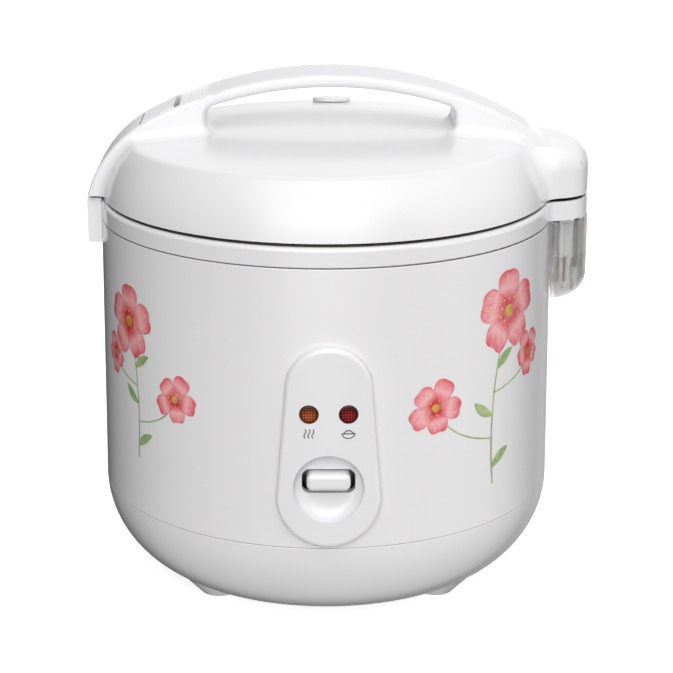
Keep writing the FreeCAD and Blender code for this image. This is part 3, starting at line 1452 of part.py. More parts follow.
def steam_cap():
    """Lift-out vent cap on the crown with two curved slits and a short stem."""
    disc = rod(VENT_CAP_R, (0, 0, GAP), (0, 0, GAP + VENT_CAP_T))
    disc = disc.makeFillet(VENT_CAP_EDGE_R, edges_where(disc, lambda p: p.z > GAP + VENT_CAP_T - 1e-3))
    stem = tube(VENT_STEM_R, VENT_STEM_R - VENT_STEM_T, (0, 0, -VENT_STEM_L), (0, 0, GAP + VENT_STEM_LAP))
    solid = disc.fuse(stem)
    for turn in (0, 180):
        low, high = -CUT_OVER, GAP + VENT_CAP_T + 2 * CUT_OVER
        ring = Part.makeCylinder(VENT_SLIT_R[1], high, V(0, 0, low), Z_AXIS, VENT_SLIT_DEG)
        ring = ring.cut(rod(VENT_SLIT_R[0], (0, 0, low - CUT_OVER), (0, 0, high + CUT_OVER)))
        ring.rotate(V(0, 0, 0), Z_AXIS, turn - VENT_SLIT_DEG / 2)
        solid = solid.cut(ring)
    return vent_place(one(solid))


# Latch
def latch_hook():
    """Hook lever in the left leg: a head that the button pushes, an eye, a stem and a nose under the lip."""
    pivot = (HOOK_X, HOOK_Z)
    head = shifted(pivot, HEAD_REACH)
    stem_right = STEM_X + HOOK_STEM_T
    knee = (STEM_X + HOOK_KNEE_IN, LEG_Z + HOOK_KNEE_UP)
    nose_x, nose_top = STEM_X - HOOK_NOSE, LIP_LOW_Z - GAP
    low = nose_top - HOOK_NOSE_H
    solid = bar(pivot, head, HOOK_T, HOOK_W).fuse([
        cross_pin(TIP_R, HOOK_W, *head),
        cross_pin(HOOK_EYE_R, HOOK_W, *pivot),
        bar(pivot, knee, HOOK_T, HOOK_W),
        across([(STEM_X, low), (stem_right, low), (stem_right, knee[1]), (STEM_X, knee[1])], HOOK_W),
        across([(nose_x, low + HOOK_NOSE_LEAD), (STEM_X, low), (stem_right, low), (stem_right, nose_top),
                (nose_x, nose_top)], HOOK_W)])
    return one(solid.cut(cross_pin(LATCH_PIN_R + RUN, HOOK_W, *pivot)))


def release_button():
    """Raised button on the handle that turns on its left end and pushes the hook's head with its tail."""
    top_left = (BUTTON_LEFT, arch_height(BUTTON_LEFT) + BUTTON_LEFT_PROUD)
    top_right = (BUTTON_RIGHT, arch_height(BUTTON_RIGHT) + BUTTON_PROUD)
    plate = across([
        (BUTTON_LEFT, RECESS_Z + BUTTON_LOW_LEFT), shifted((BUTTON_X, RECESS_Z), BUTTON_KINK),
        (BUTTON_RIGHT, top_right[1] - BUTTON_T), top_right, top_left], BUTTON_W)
    upper = edges_where(plate, lambda p: abs(abs(p.y) - BUTTON_W / 2) < 1e-3 and p.z > top_left[1] + CUT_OVER)
    plate = plate.makeFillet(BUTTON_EDGE_R, [edge for edge in upper if edge.Length > BUTTON_T + CUT_OVER])
    solid = plate.fuse([
        bar(shifted(BUTTON_PIVOT, BUTTON_NECK), BUTTON_PIVOT, BUTTON_NECK_T, HOOK_W),
        cross_pin(BUTTON_EYE_R, HOOK_W, *BUTTON_PIVOT),
        bar(BUTTON_PIVOT, BUTTON_TIP, HOOK_T, HOOK_W),
        cross_pin(TIP_R, HOOK_W, *BUTTON_TIP)])
    return one(solid.cut(cross_pin(LATCH_PIN_R + RUN, HOOK_W, *BUTTON_PIVOT)))


def button_spring():
    """Spring under the button, as its outer sleeve."""
    kink_x, kink_z = shifted((BUTTON_X, RECESS_Z), BUTTON_KINK)
    low_right = arch_height(BUTTON_RIGHT) + BUTTON_PROUD - BUTTON_T
    slope = (low_right - kink_z) / (BUTTON_RIGHT - kink_x)
    under = kink_z + (BUTTON_SPRING_X - kink_x) * slope
    top = under - slope * BUTTON_SPRING_R - SLIP
    start, end = (BUTTON_SPRING_X, 0, RECESS_Z), (BUTTON_SPRING_X, 0, top)
    return tube(BUTTON_SPRING_R, BUTTON_SPRING_R - BUTTON_SPRING_WIRE, start, end)


def latch_pin():
    """Pin that the hook turns on."""
    return cross_pin(LATCH_PIN_R, LATCH_PIN_L - 2 * SLIP, HOOK_X, HOOK_Z)


def button_pin():
    """Pin that the button turns on."""
    return cross_pin(LATCH_PIN_R, LATCH_PIN_L - 2 * SLIP, *BUTTON_PIVOT)


PIECES = {
    "base_shell": base_shell,
    "base_screws": base_screws,
    "outer_body": outer_body,
    "rim_ring": rim_ring,
    "latch_catch": latch_catch,
    "hinge_pin": hinge_pin,
    "hinge_spring": hinge_spring,
    "dew_collector": dew_collector,
    "control_panel": control_panel,
    "lens_keep_warm": lambda: lens(-LENS_PITCH / 2),
    "lens_cook": lambda: lens(LENS_PITCH / 2),
    "lamp_board": lamp_board,
    "lamp_keep_warm": lambda: lamp(-LENS_PITCH / 2),
    "lamp_cook": lambda: lamp(LENS_PITCH / 2),
    "board_screws": board_screws,
    "cook_lever": cook_lever,
    "lever_arm": lever_arm,
    "lever_pin": lever_pin,
    "switch_bracket": switch_bracket,
    "micro_switch": micro_switch,
    "inner_can": inner_can,
    "keep_warm_band": keep_warm_band,
    "heater_plate": heater_plate,
    "heater_element": heater_element,
    "heater_screws": heater_screws,
    "inner_pot": inner_pot,
    "sensor_cap": sensor_cap,
    "sensor_ferrite": sensor_ferrite,
    "sensor_housing": sensor_housing,
    "sensor_spring": sensor_spring,
    "magnet": magnet,
    "magnet_rod": magnet_rod,
    "power_inlet": power_inlet,
    "inlet_blades": inlet_blades,
    "terminal_block": terminal_block,
    "thermal_fuse": thermal_fuse,
    "lid_cover": lid_cover,
    "handle_cap": handle_cap,
    "lid_liner": lid_liner,
    "lid_screws": lid_screws,
    "inner_lid_plate": inner_lid_plate,
    "lid_gasket": lid_gasket,
    "inner_lid_grommet": inner_lid_grommet,
    "steam_tube": steam_tube,
    "steam_cap": steam_cap,
    "latch_hook": latch_hook,
    "latch_pin": latch_pin,
    "release_button": release_button,
    "button_pin": button_pin,
    "button_spring": button_spring,
}

os.makedirs("parts", exist_ok=True)
for name, (x, y) in foot_places().items():
    foot(x, y).exportStep("parts/" + name + ".step")
for name, make in PIECES.items():
    shape = make()
    shape.exportStep("parts/" + name + ".step")
    print(name, shape.ShapeType, len(shape.Solids), shape.isValid(), round(shape.Volume, 1))
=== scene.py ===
import json
import math

import bmesh
import bpy
import numpy as np
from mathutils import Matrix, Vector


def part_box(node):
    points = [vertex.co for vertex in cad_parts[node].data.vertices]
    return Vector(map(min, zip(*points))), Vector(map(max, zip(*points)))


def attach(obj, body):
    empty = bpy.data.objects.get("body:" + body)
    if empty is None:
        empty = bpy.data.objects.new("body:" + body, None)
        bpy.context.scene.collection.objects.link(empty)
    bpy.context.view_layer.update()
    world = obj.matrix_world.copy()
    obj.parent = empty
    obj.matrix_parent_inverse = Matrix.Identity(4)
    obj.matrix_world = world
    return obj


# Rice cooker: looks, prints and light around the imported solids. Metres, the same frame as the solids.

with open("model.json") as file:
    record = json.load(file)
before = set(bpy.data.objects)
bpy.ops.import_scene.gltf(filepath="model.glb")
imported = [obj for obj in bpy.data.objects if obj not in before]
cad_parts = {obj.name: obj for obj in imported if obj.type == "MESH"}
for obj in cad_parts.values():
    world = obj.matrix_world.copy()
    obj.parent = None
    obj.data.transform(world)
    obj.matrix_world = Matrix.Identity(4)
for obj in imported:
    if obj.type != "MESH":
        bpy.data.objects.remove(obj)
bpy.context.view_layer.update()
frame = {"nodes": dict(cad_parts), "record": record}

# Camera, fitted to a square picture
PICTURE = 673
FOCAL_PIXELS = 1934.0
AXIS_PIXEL_X = 326.3
CAMERA_PLACE = (0.0, -1.0971, 0.4793)
CAMERA_PITCH = math.radians(17.45)
CAMERA_TURN = math.radians(-0.55)
SENSOR = 36.0

# Studio
FLOOR_R = 60.0
FLOOR_COLOUR = (0.9, 0.9, 0.9)
FLOOR_GLOW = 0.6
KEY_GLOW = ((-0.03, -0.68, 0.73), 0.74, 0.98, 1.25)
HIGH_GLOW = ((0.0, -0.45, 0.89), 0.74, 0.98, 0.95)
FRONT_GLOW = ((-0.08, -0.97, 0.25), 0.76, 0.98, 2.12)
TOP_GLOW = ((0.0, 0.1, 0.97), 0.7, 0.98, 0.22)
BACK_GLOW = ((0.1, 0.85, 0.53), 0.6, 0.95, 1.05)
RIGHT_GLOW = ((0.94, -0.1, 0.34), 0.6, 0.95, 0.85)
LEFT_GLOW = ((-0.94, -0.1, 0.34), 0.6, 0.95, 0.1)
FLOOR_LEFT_GLOW = ((-0.5, -0.1, -0.85), 0.65, 0.98, 0.5)
FLOOR_GLOW_UNDER = ((0.0, -0.3, -0.95), 0.65, 0.98, 0.12)
FLOOR_RIGHT_GLOW = ((0.55, -0.1, -0.85), 0.65, 0.98, 0.55)
BEHIND_GLOW = ((0.25, 0.92, -0.3), 0.86, 0.99, 0.42)
GLOWS = (KEY_GLOW, HIGH_GLOW, FRONT_GLOW, TOP_GLOW, BACK_GLOW, RIGHT_GLOW, LEFT_GLOW,
         FLOOR_LEFT_GLOW, FLOOR_GLOW_UNDER, FLOOR_RIGHT_GLOW, BEHIND_GLOW)

# Body sizes read from the solids; the lens look and the ring's height are given
BODY_LOW, BODY_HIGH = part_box("outer_body")
SEAM_Z = BODY_LOW[2]
RING_Z = BODY_HIGH[2]
FOOT_OF_BODY_R = BODY_HIGH[0]
HEAD_OF_BODY_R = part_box("rim_ring")[1][1]
PANEL_LOW, PANEL_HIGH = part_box("control_panel")
PANEL_R = -PANEL_LOW[1]
LENS_LOW, LENS_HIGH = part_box("lens_keep_warm")
LENS_X = -(LENS_LOW[0] + LENS_HIGH[0]) / 2
LENS_Z = (LENS_LOW[2] + LENS_HIGH[2]) / 2
LENS_R = 0.0055
LENS_DOT_PITCH = 0.0015
LENS_LIGHT = 0.12
RING_H = 0.011
DECK_Z = RING_Z + RING_H
CUP_LOW, CUP_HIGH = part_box("dew_collector")

# Seals and seam lines; the seal also stands in for the shade in the lid's gap, the seam lines are painted shade
SEAL_IN_R = 0.1232
SEAL_OUT_R = 0.1273
SEAL_H = 0.001
SEAM_SINK = 0.00015
SEAM_HALF = 0.00034
SEAM_DEEP = 0.0004
HOOP_STEPS = 240
WELD = 1e-7
HINGE_SEAL_X = 0.127
HINGE_SEAL_R = 0.0228
HINGE_SEAL_HALF = 0.0045
HINGE_SEAL_LIFT = 0.00012

# Ribs inside the dew cup, and a dark bar of painted shade at its edge
RIB_Y = -0.0105
RIB_LOW = 0.006
RIB_TOP = 0.0035
RIB_TOP_Z = 0.187
EDGE_X = 0.1463

# Print on the body: blossom sprigs
PRINT_LIFT = 0.00006
LAYER = 0.00003
PETALS = 5
BLOSSOM_R = 0.0265
STEM_W = 0.0011
RIGHT_ROOT = (0.1, 0.078)
LEFT_ROOT = (-0.122, 0.088)

# Signs under the lenses
SIGN_DROP = 0.0108
SIGN_LINE = 0.0006
SIGN_R = 0.0034

# Colours
WHITE = (0.82, 0.822, 0.83, 1)
BAND_GREY = (0.75, 0.75, 0.765, 1)
SEAL_AND_GAP_SHADE_BLACK = (0.018, 0.016, 0.015, 1)
SEAM_SHADE_GREY = (0.1, 0.1, 0.1, 1)
RIB_TAN = (0.5, 0.42, 0.35, 1)
CLEAR_IOR = 1.3
CLEAR_ALPHA = 0.62
EDGE_GREY = (0.035, 0.03, 0.029, 1)
PAINT_GREY = (0.83, 0.826, 0.828, 1)


# Node tools
def material(name):
    """New node material with its Principled shader: (material, nodes, link, shader)."""
    made = bpy.data.materials.new(name)
    made.use_nodes = True
    nodes = made.node_tree.nodes
    link = made.node_tree.links.new
    return made, nodes, link, nodes["Principled BSDF"]


def group(name, inputs, outputs):
    """New shader node group with named sockets: (tree, nodes, link, inlet, outlet)."""
    tree = bpy.data.node_groups.new(name, "ShaderNodeTree")
    for socket, kind in inputs:
        tree.interface.new_socket(socket, in_out="INPUT", socket_type="NodeSocket" + kind)
    for socket, kind in outputs:
        tree.interface.new_socket(socket, in_out="OUTPUT", socket_type="NodeSocket" + kind)
    nodes = tree.nodes
    return tree, nodes, tree.links.new, nodes.new("NodeGroupInput"), nodes.new("NodeGroupOutput")


def use_group(nodes, tree, **values):
    """Places a group in a material and sets its inputs."""
    node = nodes.new("ShaderNodeGroup")
    node.node_tree = tree
    for socket, value in values.items():
        node.inputs[socket.replace("_", " ")].default_value = value
    return node


def math_node(nodes, link, operation, *values):
    """Math node on numbers or sockets, its result socket."""
    node = nodes.new("ShaderNodeMath")
    node.operation = operation
    for i, value in enumerate(values):
        if isinstance(value, (int, float)):
            node.inputs[i].default_value = value
        else:
            link(value, node.inputs[i])
    return node.outputs[0]


def ramp(nodes, link, value, low, high, to_low, to_high, smooth=True):
    """Maps a value from one range to another, held at the ends."""
    node = nodes.new("ShaderNodeMapRange")
    node.interpolation_type = "SMOOTHSTEP" if smooth else "LINEAR"
    link(value, node.inputs[0])
    for i, number in enumerate((low, high, to_low, to_high)):
        node.inputs[i + 1].default_value = number
    return node.outputs[0]


def mix(nodes, link, factor, a, b):
    """Colour between a and b, each a colour or a socket."""
    node = nodes.new("ShaderNodeMix")
    node.data_type = "RGBA"
    link(factor, node.inputs["Factor"])
    for socket, value in (("A", a), ("B", b)):
        target = [s for s in node.inputs if s.name == socket and s.type == "RGBA"][0]
        if isinstance(value, tuple):
            target.default_value = value
        else:
            link(value, target)
    return [s for s in node.outputs if s.type == "RGBA"][0]


def noise(nodes, link, vector, scale, detail=2.0):
    """Noise value from 0 to 1 at a scale of features per metre."""
    node = nodes.new("ShaderNodeTexNoise")
    node.inputs["Scale"].default_value = scale
    node.inputs["Detail"].default_value = detail
    link(vector, node.inputs["Vector"])
    return node.outputs[0]


def bump(nodes, link, shader, height, strength, distance):
    """Bump from a height socket into the shader's normal."""
    node = nodes.new("ShaderNodeBump")
    node.inputs["Strength"].default_value = strength
    node.inputs["Distance"].default_value = distance
    link(height, node.inputs["Height"])
    link(node.outputs[0], shader.inputs["Normal"])


# Shared effects
def make_skin():
    """Moulded or sprayed skin: cloudy tone, uneven gloss and a fine orange peel."""
    tree, nodes, link, inlet, outlet = group(
        "moulded_skin",
        [("Colour", "Color"), ("Shade", "Color"), ("Gloss low", "Float"), ("Gloss high", "Float"), ("Peel", "Float")],
        [("Colour", "Color"), ("Roughness", "Float"), ("Height", "Float")])
    place = nodes.new("ShaderNodeTexCoord").outputs["Object"]
    cloud = noise(nodes, link, place, 9.0, 3.0)
    link(mix(nodes, link, cloud, inlet.outputs["Colour"], inlet.outputs["Shade"]), outlet.inputs["Colour"])
    smear = nodes.new("ShaderNodeMapRange")
    link(noise(nodes, link, place, 60.0, 4.0), smear.inputs[0])
    link(inlet.outputs["Gloss low"], smear.inputs[3])
    link(inlet.outputs["Gloss high"], smear.inputs[4])
    link(smear.outputs[0], outlet.inputs["Roughness"])
    peel = nodes.new("ShaderNodeTexNoise")
    link(place, peel.inputs["Vector"])
    link(inlet.outputs["Peel"], peel.inputs["Scale"])
    peel.inputs["Detail"].default_value = 1.0
    link(peel.outputs[0], outlet.inputs["Height"])
    return tree


def make_spun():
    """Spun metal: fine rings about the upright axis with uneven brightness."""
    tree, nodes, link, inlet, outlet = group(
        "spun_metal",
        [("Bright", "Color"), ("Dull", "Color"), ("Pitch", "Float")],
        [("Colour", "Color"), ("Roughness", "Float"), ("Height", "Float")])
    place = nodes.new("ShaderNodeTexCoord").outputs["Object"]
    parts = nodes.new("ShaderNodeSeparateXYZ")
    link(place, parts.inputs[0])
    flat = nodes.new("ShaderNodeCombineXYZ")
    link(parts.outputs[0], flat.inputs[0])
    link(parts.outputs[1], flat.inputs[1])
    length = nodes.new("ShaderNodeVectorMath")
    length.operation = "LENGTH"
    link(flat.outputs[0], length.inputs[0])
    rings = nodes.new("ShaderNodeCombineXYZ")
    link(math_node(nodes, link, "MULTIPLY", length.outputs["Value"], inlet.outputs["Pitch"]), rings.inputs[0])
    link(math_node(nodes, link, "MULTIPLY", parts.outputs[2], inlet.outputs["Pitch"]), rings.inputs[1])
    grain = noise(nodes, link, rings.outputs[0], 1.0, 3.0)
    link(mix(nodes, link, grain, inlet.outputs["Bright"], inlet.outputs["Dull"]), outlet.inputs["Colour"])
    link(ramp(nodes, link, grain, 0.2, 0.8, 0.22, 0.42), outlet.inputs["Roughness"])
    link(grain, outlet.inputs["Height"])
    return tree


SKIN = make_skin()
SPUN = make_spun()


# Finishes
def skin_finish(name, colour, shade, gloss, peel, depth, coat):
    """Finish with the moulded skin: colours, gloss range, peel scale and depth, clear coat."""
    made, nodes, link, shader = material(name)
    skin = use_group(nodes, SKIN, Colour=colour, Shade=shade, Gloss_low=gloss[0], Gloss_high=gloss[1], Peel=peel)
    link(skin.outputs["Colour"], shader.inputs["Base Color"])
    link(skin.outputs["Roughness"], shader.inputs["Roughness"])
    bump(nodes, link, shader, skin.outputs["Height"], 0.25, depth)
    shader.inputs["Coat Weight"].default_value = coat
    shader.inputs["Coat Roughness"].default_value = 0.06
    return made


def spun_finish(name, bright, dull, pitch):
    """Finish with spun rings."""
    made, nodes, link, shader = material(name)
    spun = use_group(nodes, SPUN, Bright=bright, Dull=dull, Pitch=pitch)
    link(spun.outputs["Colour"], shader.inputs["Base Color"])
    link(spun.outputs["Roughness"], shader.inputs["Roughness"])
    bump(nodes, link, shader, spun.outputs["Height"], 0.2, 0.00008)
    shader.inputs["Metallic"].default_value = 1.0
    return made


def clear_finish(name):
    """Clear moulded plastic with a faint unevenness."""
    made, nodes, link, shader = material(name)
    place = nodes.new("ShaderNodeTexCoord").outputs["Object"]
    link(ramp(nodes, link, noise(nodes, link, place, 40.0), 0.3, 0.7, 0.02, 0.07), shader.inputs["Roughness"])
    bump(nodes, link, shader, noise(nodes, link, place, 90.0), 0.08, 0.0003)
    shader.inputs["Base Color"].default_value = (0.95, 0.945, 0.935, 1)
    shader.inputs["Transmission Weight"].default_value = 1.0
    shader.inputs["IOR"].default_value = CLEAR_IOR
    shader.inputs["Alpha"].default_value = CLEAR_ALPHA
    return made


def lens_finish(name, side, deep, lit, spark):
    """Lens with painted light and shade: darker at its rim and top as painted shade of its recess, lighter low in its
    middle, with a square grid of bright points that are brightest where it is painted lit; it also glows faintly.
    """
    made, nodes, link, shader = material(name)
    place = nodes.new("ShaderNodeTexCoord").outputs["Object"]
    parts = nodes.new("ShaderNodeSeparateXYZ")
    link(place, parts.inputs[0])
    x = math_node(nodes, link, "SUBTRACT", parts.outputs[0], side * LENS_X)
    z = math_node(nodes, link, "SUBTRACT", parts.outputs[2], LENS_Z)
    squares = [math_node(nodes, link, "POWER", math_node(nodes, link, "ABSOLUTE", v), 2.0) for v in (x, z)]
    reach = math_node(nodes, link, "SQRT", math_node(nodes, link, "ADD", *squares))
    # painted shade: darker towards the rim and the top of the lens, where its recess shades it; the lighter middle is
    # painted light
    middle = ramp(nodes, link, reach, 0.25 * LENS_R, LENS_R, 1.0, 0.0)
    low = ramp(nodes, link, z, -0.5 * LENS_R, 0.9 * LENS_R, 1.0, 0.25)
    glow = math_node(nodes, link, "MULTIPLY", middle, low)
    waves = []
    for way in (x, z):
        turn = math_node(nodes, link, "MULTIPLY", way, 2 * math.pi / LENS_DOT_PITCH)
        waves.append(ramp(nodes, link, math_node(nodes, link, "COSINE", turn), -0.2, 1.0, 0.0, 1.0))
    points = math_node(nodes, link, "MULTIPLY", *waves)
    dots = math_node(nodes, link, "MULTIPLY", points, glow)
    # lit and shaded copies of the lens colour, mixed by the painted light and shade above
    colour = mix(nodes, link, dots, mix(nodes, link, glow, deep, lit), spark)
    link(colour, shader.inputs["Base Color"])
    link(colour, shader.inputs["Emission Color"])
    shader.inputs["Emission Strength"].default_value = LENS_LIGHT
    shader.inputs["Roughness"].default_value = 0.15
    shader.inputs["Specular IOR Level"].default_value = 0.2
    shader.inputs["Coat Weight"].default_value = 0.15
    bump(nodes, link, shader, points, 0.4, 0.00015)
    return made


def make_finishes():
    """One finish for each material slot of the record."""
    return {
        "white_plastic": skin_finish(
            "white_plastic", WHITE, (0.8, 0.802, 0.812, 1), (0.16, 0.24), 320.0, 0.000012, 0.35),
        "body_paint": skin_finish(
            "body_paint", PAINT_GREY, (0.81, 0.806, 0.808, 1), (0.19, 0.25), 260.0, 0.00001, 0.5),
        "clear_plastic": clear_finish("clear_plastic"),
        "amber_lens": lens_finish("amber_lens", -1, (0.035, 0.008, 0.003, 1), (0.24, 0.04, 0.007, 1), (0.95, 0.3, 0.07, 1)),
        "red_lens": lens_finish("red_lens", 1, (0.022, 0.002, 0.002, 1), (0.13, 0.003, 0.003, 1), (0.85, 0.06, 0.06, 1)),
        "board": skin_finish("board", (0.03, 0.2, 0.07, 1), (0.02, 0.12, 0.05, 1), (0.3, 0.5), 500.0, 0.00005, 0.2),
        "lamp_glass": clear_finish("lamp_glass"),
        "steel": spun_finish("steel", (0.72, 0.72, 0.73, 1), (0.5, 0.5, 0.51, 1), 2500.0),
        "aluminium": spun_finish("aluminium", (0.86, 0.86, 0.87, 1), (0.7, 0.7, 0.72, 1), 3500.0),
        "ferrite": skin_finish("ferrite", (0.06, 0.06, 0.065, 1), (0.1, 0.1, 0.1, 1), (0.5, 0.8), 1200.0, 0.0001, 0.0),
        "black_plastic": skin_finish(
            "black_plastic", (0.02, 0.02, 0.021, 1), (0.03, 0.03, 0.03, 1), (0.35, 0.55), 2500.0, 0.00008, 0.0),
        "brass": spun_finish("brass", (0.85, 0.66, 0.3, 1), (0.6, 0.44, 0.18, 1), 3000.0),
        "ceramic": skin_finish("ceramic", (0.82, 0.79, 0.72, 1), (0.72, 0.68, 0.6, 1), (0.3, 0.5), 800.0, 0.0001, 0.3),
        "rubber": skin_finish("rubber", (0.62, 0.61, 0.6, 1), (0.55, 0.54, 0.53, 1), (0.55, 0.75), 1500.0, 0.00006, 0.0),
    }


FINISHES = make_finishes()


# Mesh tools
def grid_faces(rows, cols, start):
    """Quads of a grid of rows by cols points that begins at a vertex number."""
    first = start + np.arange(rows - 1)[:, None] * cols + np.arange(cols - 1)[None, :]
    return np.stack([first, first + cols, first + cols + 1, first + 1], -1).reshape(-1, 4)


def weld(mesh):
    """Closes seams and poles: joins points that lie on each other."""
    form = bmesh.new()
    form.from_mesh(mesh)
    bmesh.ops.remove_doubles(form, verts=form.verts, dist=WELD)
    form.to_mesh(mesh)
    form.free()


def piece(name, sheets, finish, body):
    """One object from several sheets, each a grid of points and a grid of (u, v), that rides on a body."""
    points, maps, faces = [], [], []
    start = 0
    for grid, uv in sheets:
        rows, cols = grid.shape[:2]
        faces.append(grid_faces(rows, cols, start))
        points.append(grid.reshape(-1, 3))
        maps.append(uv.reshape(-1, 2))
        start += rows * cols
    points, maps, faces = np.concatenate(points), np.concatenate(maps), np.concatenate(faces)
    mesh = bpy.data.meshes.new(name)
    mesh.from_pydata(points.tolist(), [], faces.tolist())
    mesh.uv_layers.new(name="print").data.foreach_set("uv", maps[faces.ravel()].ravel())
    mesh.polygons.foreach_set("use_smooth", np.ones(len(faces), dtype=bool))
    mesh.materials.append(finish)
    weld(mesh)
    made = bpy.data.objects.new(name, mesh)
    bpy.context.scene.collection.objects.link(made)
    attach(made, body)
    return made


def closed_piece(name, grid, finish, body):
    """One object from a grid of points that closes on itself both ways."""
    rows, cols = grid.shape[:2]
    i, j = np.meshgrid(np.arange(rows), np.arange(cols), indexing="ij")
    down, on = (i + 1) % rows, (j + 1) % cols
    faces = np.stack([i * cols + j, down * cols + j, down * cols + on, i * cols + on], -1).reshape(-1, 4)
    mesh = bpy.data.meshes.new(name)
    mesh.from_pydata(grid.reshape(-1, 3).tolist(), [], faces.tolist())
    mesh.materials.append(finish)
    made = bpy.data.objects.new(name, mesh)
    bpy.context.scene.collection.objects.link(made)
    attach(made, body)
    return made


def hoop(name, inner, outer, low, high, finish):
    """Ring about the upright axis: a square profile of radius and height carried round a circle."""
    radius, level = np.array([inner, outer, outer, inner]), np.array([low, low, high, high])
    turn = np.linspace(0, 2 * math.pi, HOOP_STEPS, endpoint=False)[:, None]
    grid = np.stack([radius * np.cos(turn), radius * np.sin(turn), level + 0 * turn], -1)
    closed_piece(name, grid, finish, "base")


def seals():
    """Dark seal on the deck and a dark sheet of it on the hinge tongue, which also stand in for the shade in the lid's
    gap; dark lines in the body's two seams as painted shade of their grooves.
    """
    seal = skin_finish("seal_rubber_and_gap_shade", SEAL_AND_GAP_SHADE_BLACK, (0.03, 0.028, 0.026, 1), (0.5, 0.7), 1500.0, 0.00006, 0.0)
    seam = skin_finish("seam_shade", SEAM_SHADE_GREY, (0.13, 0.13, 0.13, 1), (0.5, 0.7), 1500.0, 0.00006, 0.0)
    # dark seal ring, also standing in for the shade in the gap under the lid
    hoop("deck_seal_and_gap_shade", SEAL_IN_R, SEAL_OUT_R, DECK_Z, DECK_Z + SEAL_H, seal)
    # painted shade: dark rings laid in the grooves of the two seams
    for name, radius, low, high in (("ring_seam_shade", HEAD_OF_BODY_R, RING_Z - SEAM_HALF, RING_Z + SEAM_HALF),
                                    ("base_seam_shade", FOOT_OF_BODY_R, SEAM_Z - SEAM_HALF, SEAM_Z)):
        hoop(name, radius - SEAM_DEEP, radius - SEAM_SINK, low, high, seam)
    # dark sheet on the hinge tongue, also standing in for the shade in the gap under the lid's hinge end
    angle, across = np.meshgrid(np.linspace(0, math.pi / 2, 25), np.linspace(-1, 1, 9), indexing="ij")
    half = HINGE_SEAL_HALF + HINGE_SEAL_R * np.cos(angle)
    x = HINGE_SEAL_X + HINGE_SEAL_R * np.sin(angle)
    grid = np.stack([x, half * across, np.full_like(x, DECK_Z + HINGE_SEAL_LIFT)], -1)
    piece("hinge_seal_and_gap_shade", [(grid, np.stack([angle, across], -1))], seal, "base")


def cup_rib(name, x, y, size, low, high, finish):
    """Upright round bar inside the dew cup, its radius the root of one minus a high power of the height."""
    t, turn = np.meshgrid(np.linspace(-1, 1, 33), np.linspace(2 * math.pi, 0, 25), indexing="ij")
    radius = size * (1 - t ** 12) ** 0.5
    z = (low + high) / 2 + (high - low) / 2 * t
    grid = np.stack([x + radius * np.cos(turn), y + radius * np.sin(turn), z], -1)
    piece(name, [(grid, np.stack([t, turn], -1))], finish, "dew")


def cup_ribs():
    """Ribs inside the dew cup: a tan, a thin dark and a white one in front, and at its outer edge a dark bar that is
    painted shade of the cup's inner wall.
    """
    tan = skin_finish("tan_rib", RIB_TAN, (0.42, 0.35, 0.29, 1), (0.3, 0.45), 900.0, 0.00003, 0.2)
    dark = skin_finish("dark_rib", EDGE_GREY, (0.12, 0.11, 0.1, 1), (0.3, 0.45), 900.0, 0.00003, 0.2)
    low = CUP_LOW[2] + RIB_LOW
    cup_rib("rib_left", 0.1341, RIB_Y, 0.0014, low, RIB_TOP_Z, tan)
    cup_rib("rib_middle", 0.1386, RIB_Y, 0.0006, low, RIB_TOP_Z, dark)
    cup_rib("rib_right", 0.1404, RIB_Y, 0.0009, low, RIB_TOP_Z, FINISHES["white_plastic"])
    # painted shade: a dark bar standing in for the shade along the cup's inner wall
    cup_rib("edge_shade_bar", EDGE_X, 0.0, 0.0016, low + RIB_LOW, CUP_HIGH[2] - RIB_TOP, dark)


def on_body(s, z, lift):
    """Point on the body's cone: s is the run round it from the front, z the height, lift the stand-off."""
    radius = FOOT_OF_BODY_R + (HEAD_OF_BODY_R - FOOT_OF_BODY_R) * (z - SEAM_Z) / (RING_Z - SEAM_Z) + lift
    turn = s / HEAD_OF_BODY_R
    return np.stack([radius * np.sin(turn), -radius * np.cos(turn), z], -1)


def on_panel(x, z, lift):
    """Point on the panel's round front: x across, z the height, lift the stand-off."""
    return np.stack([x, -np.sqrt((PANEL_R + lift) ** 2 - x ** 2), z], -1)


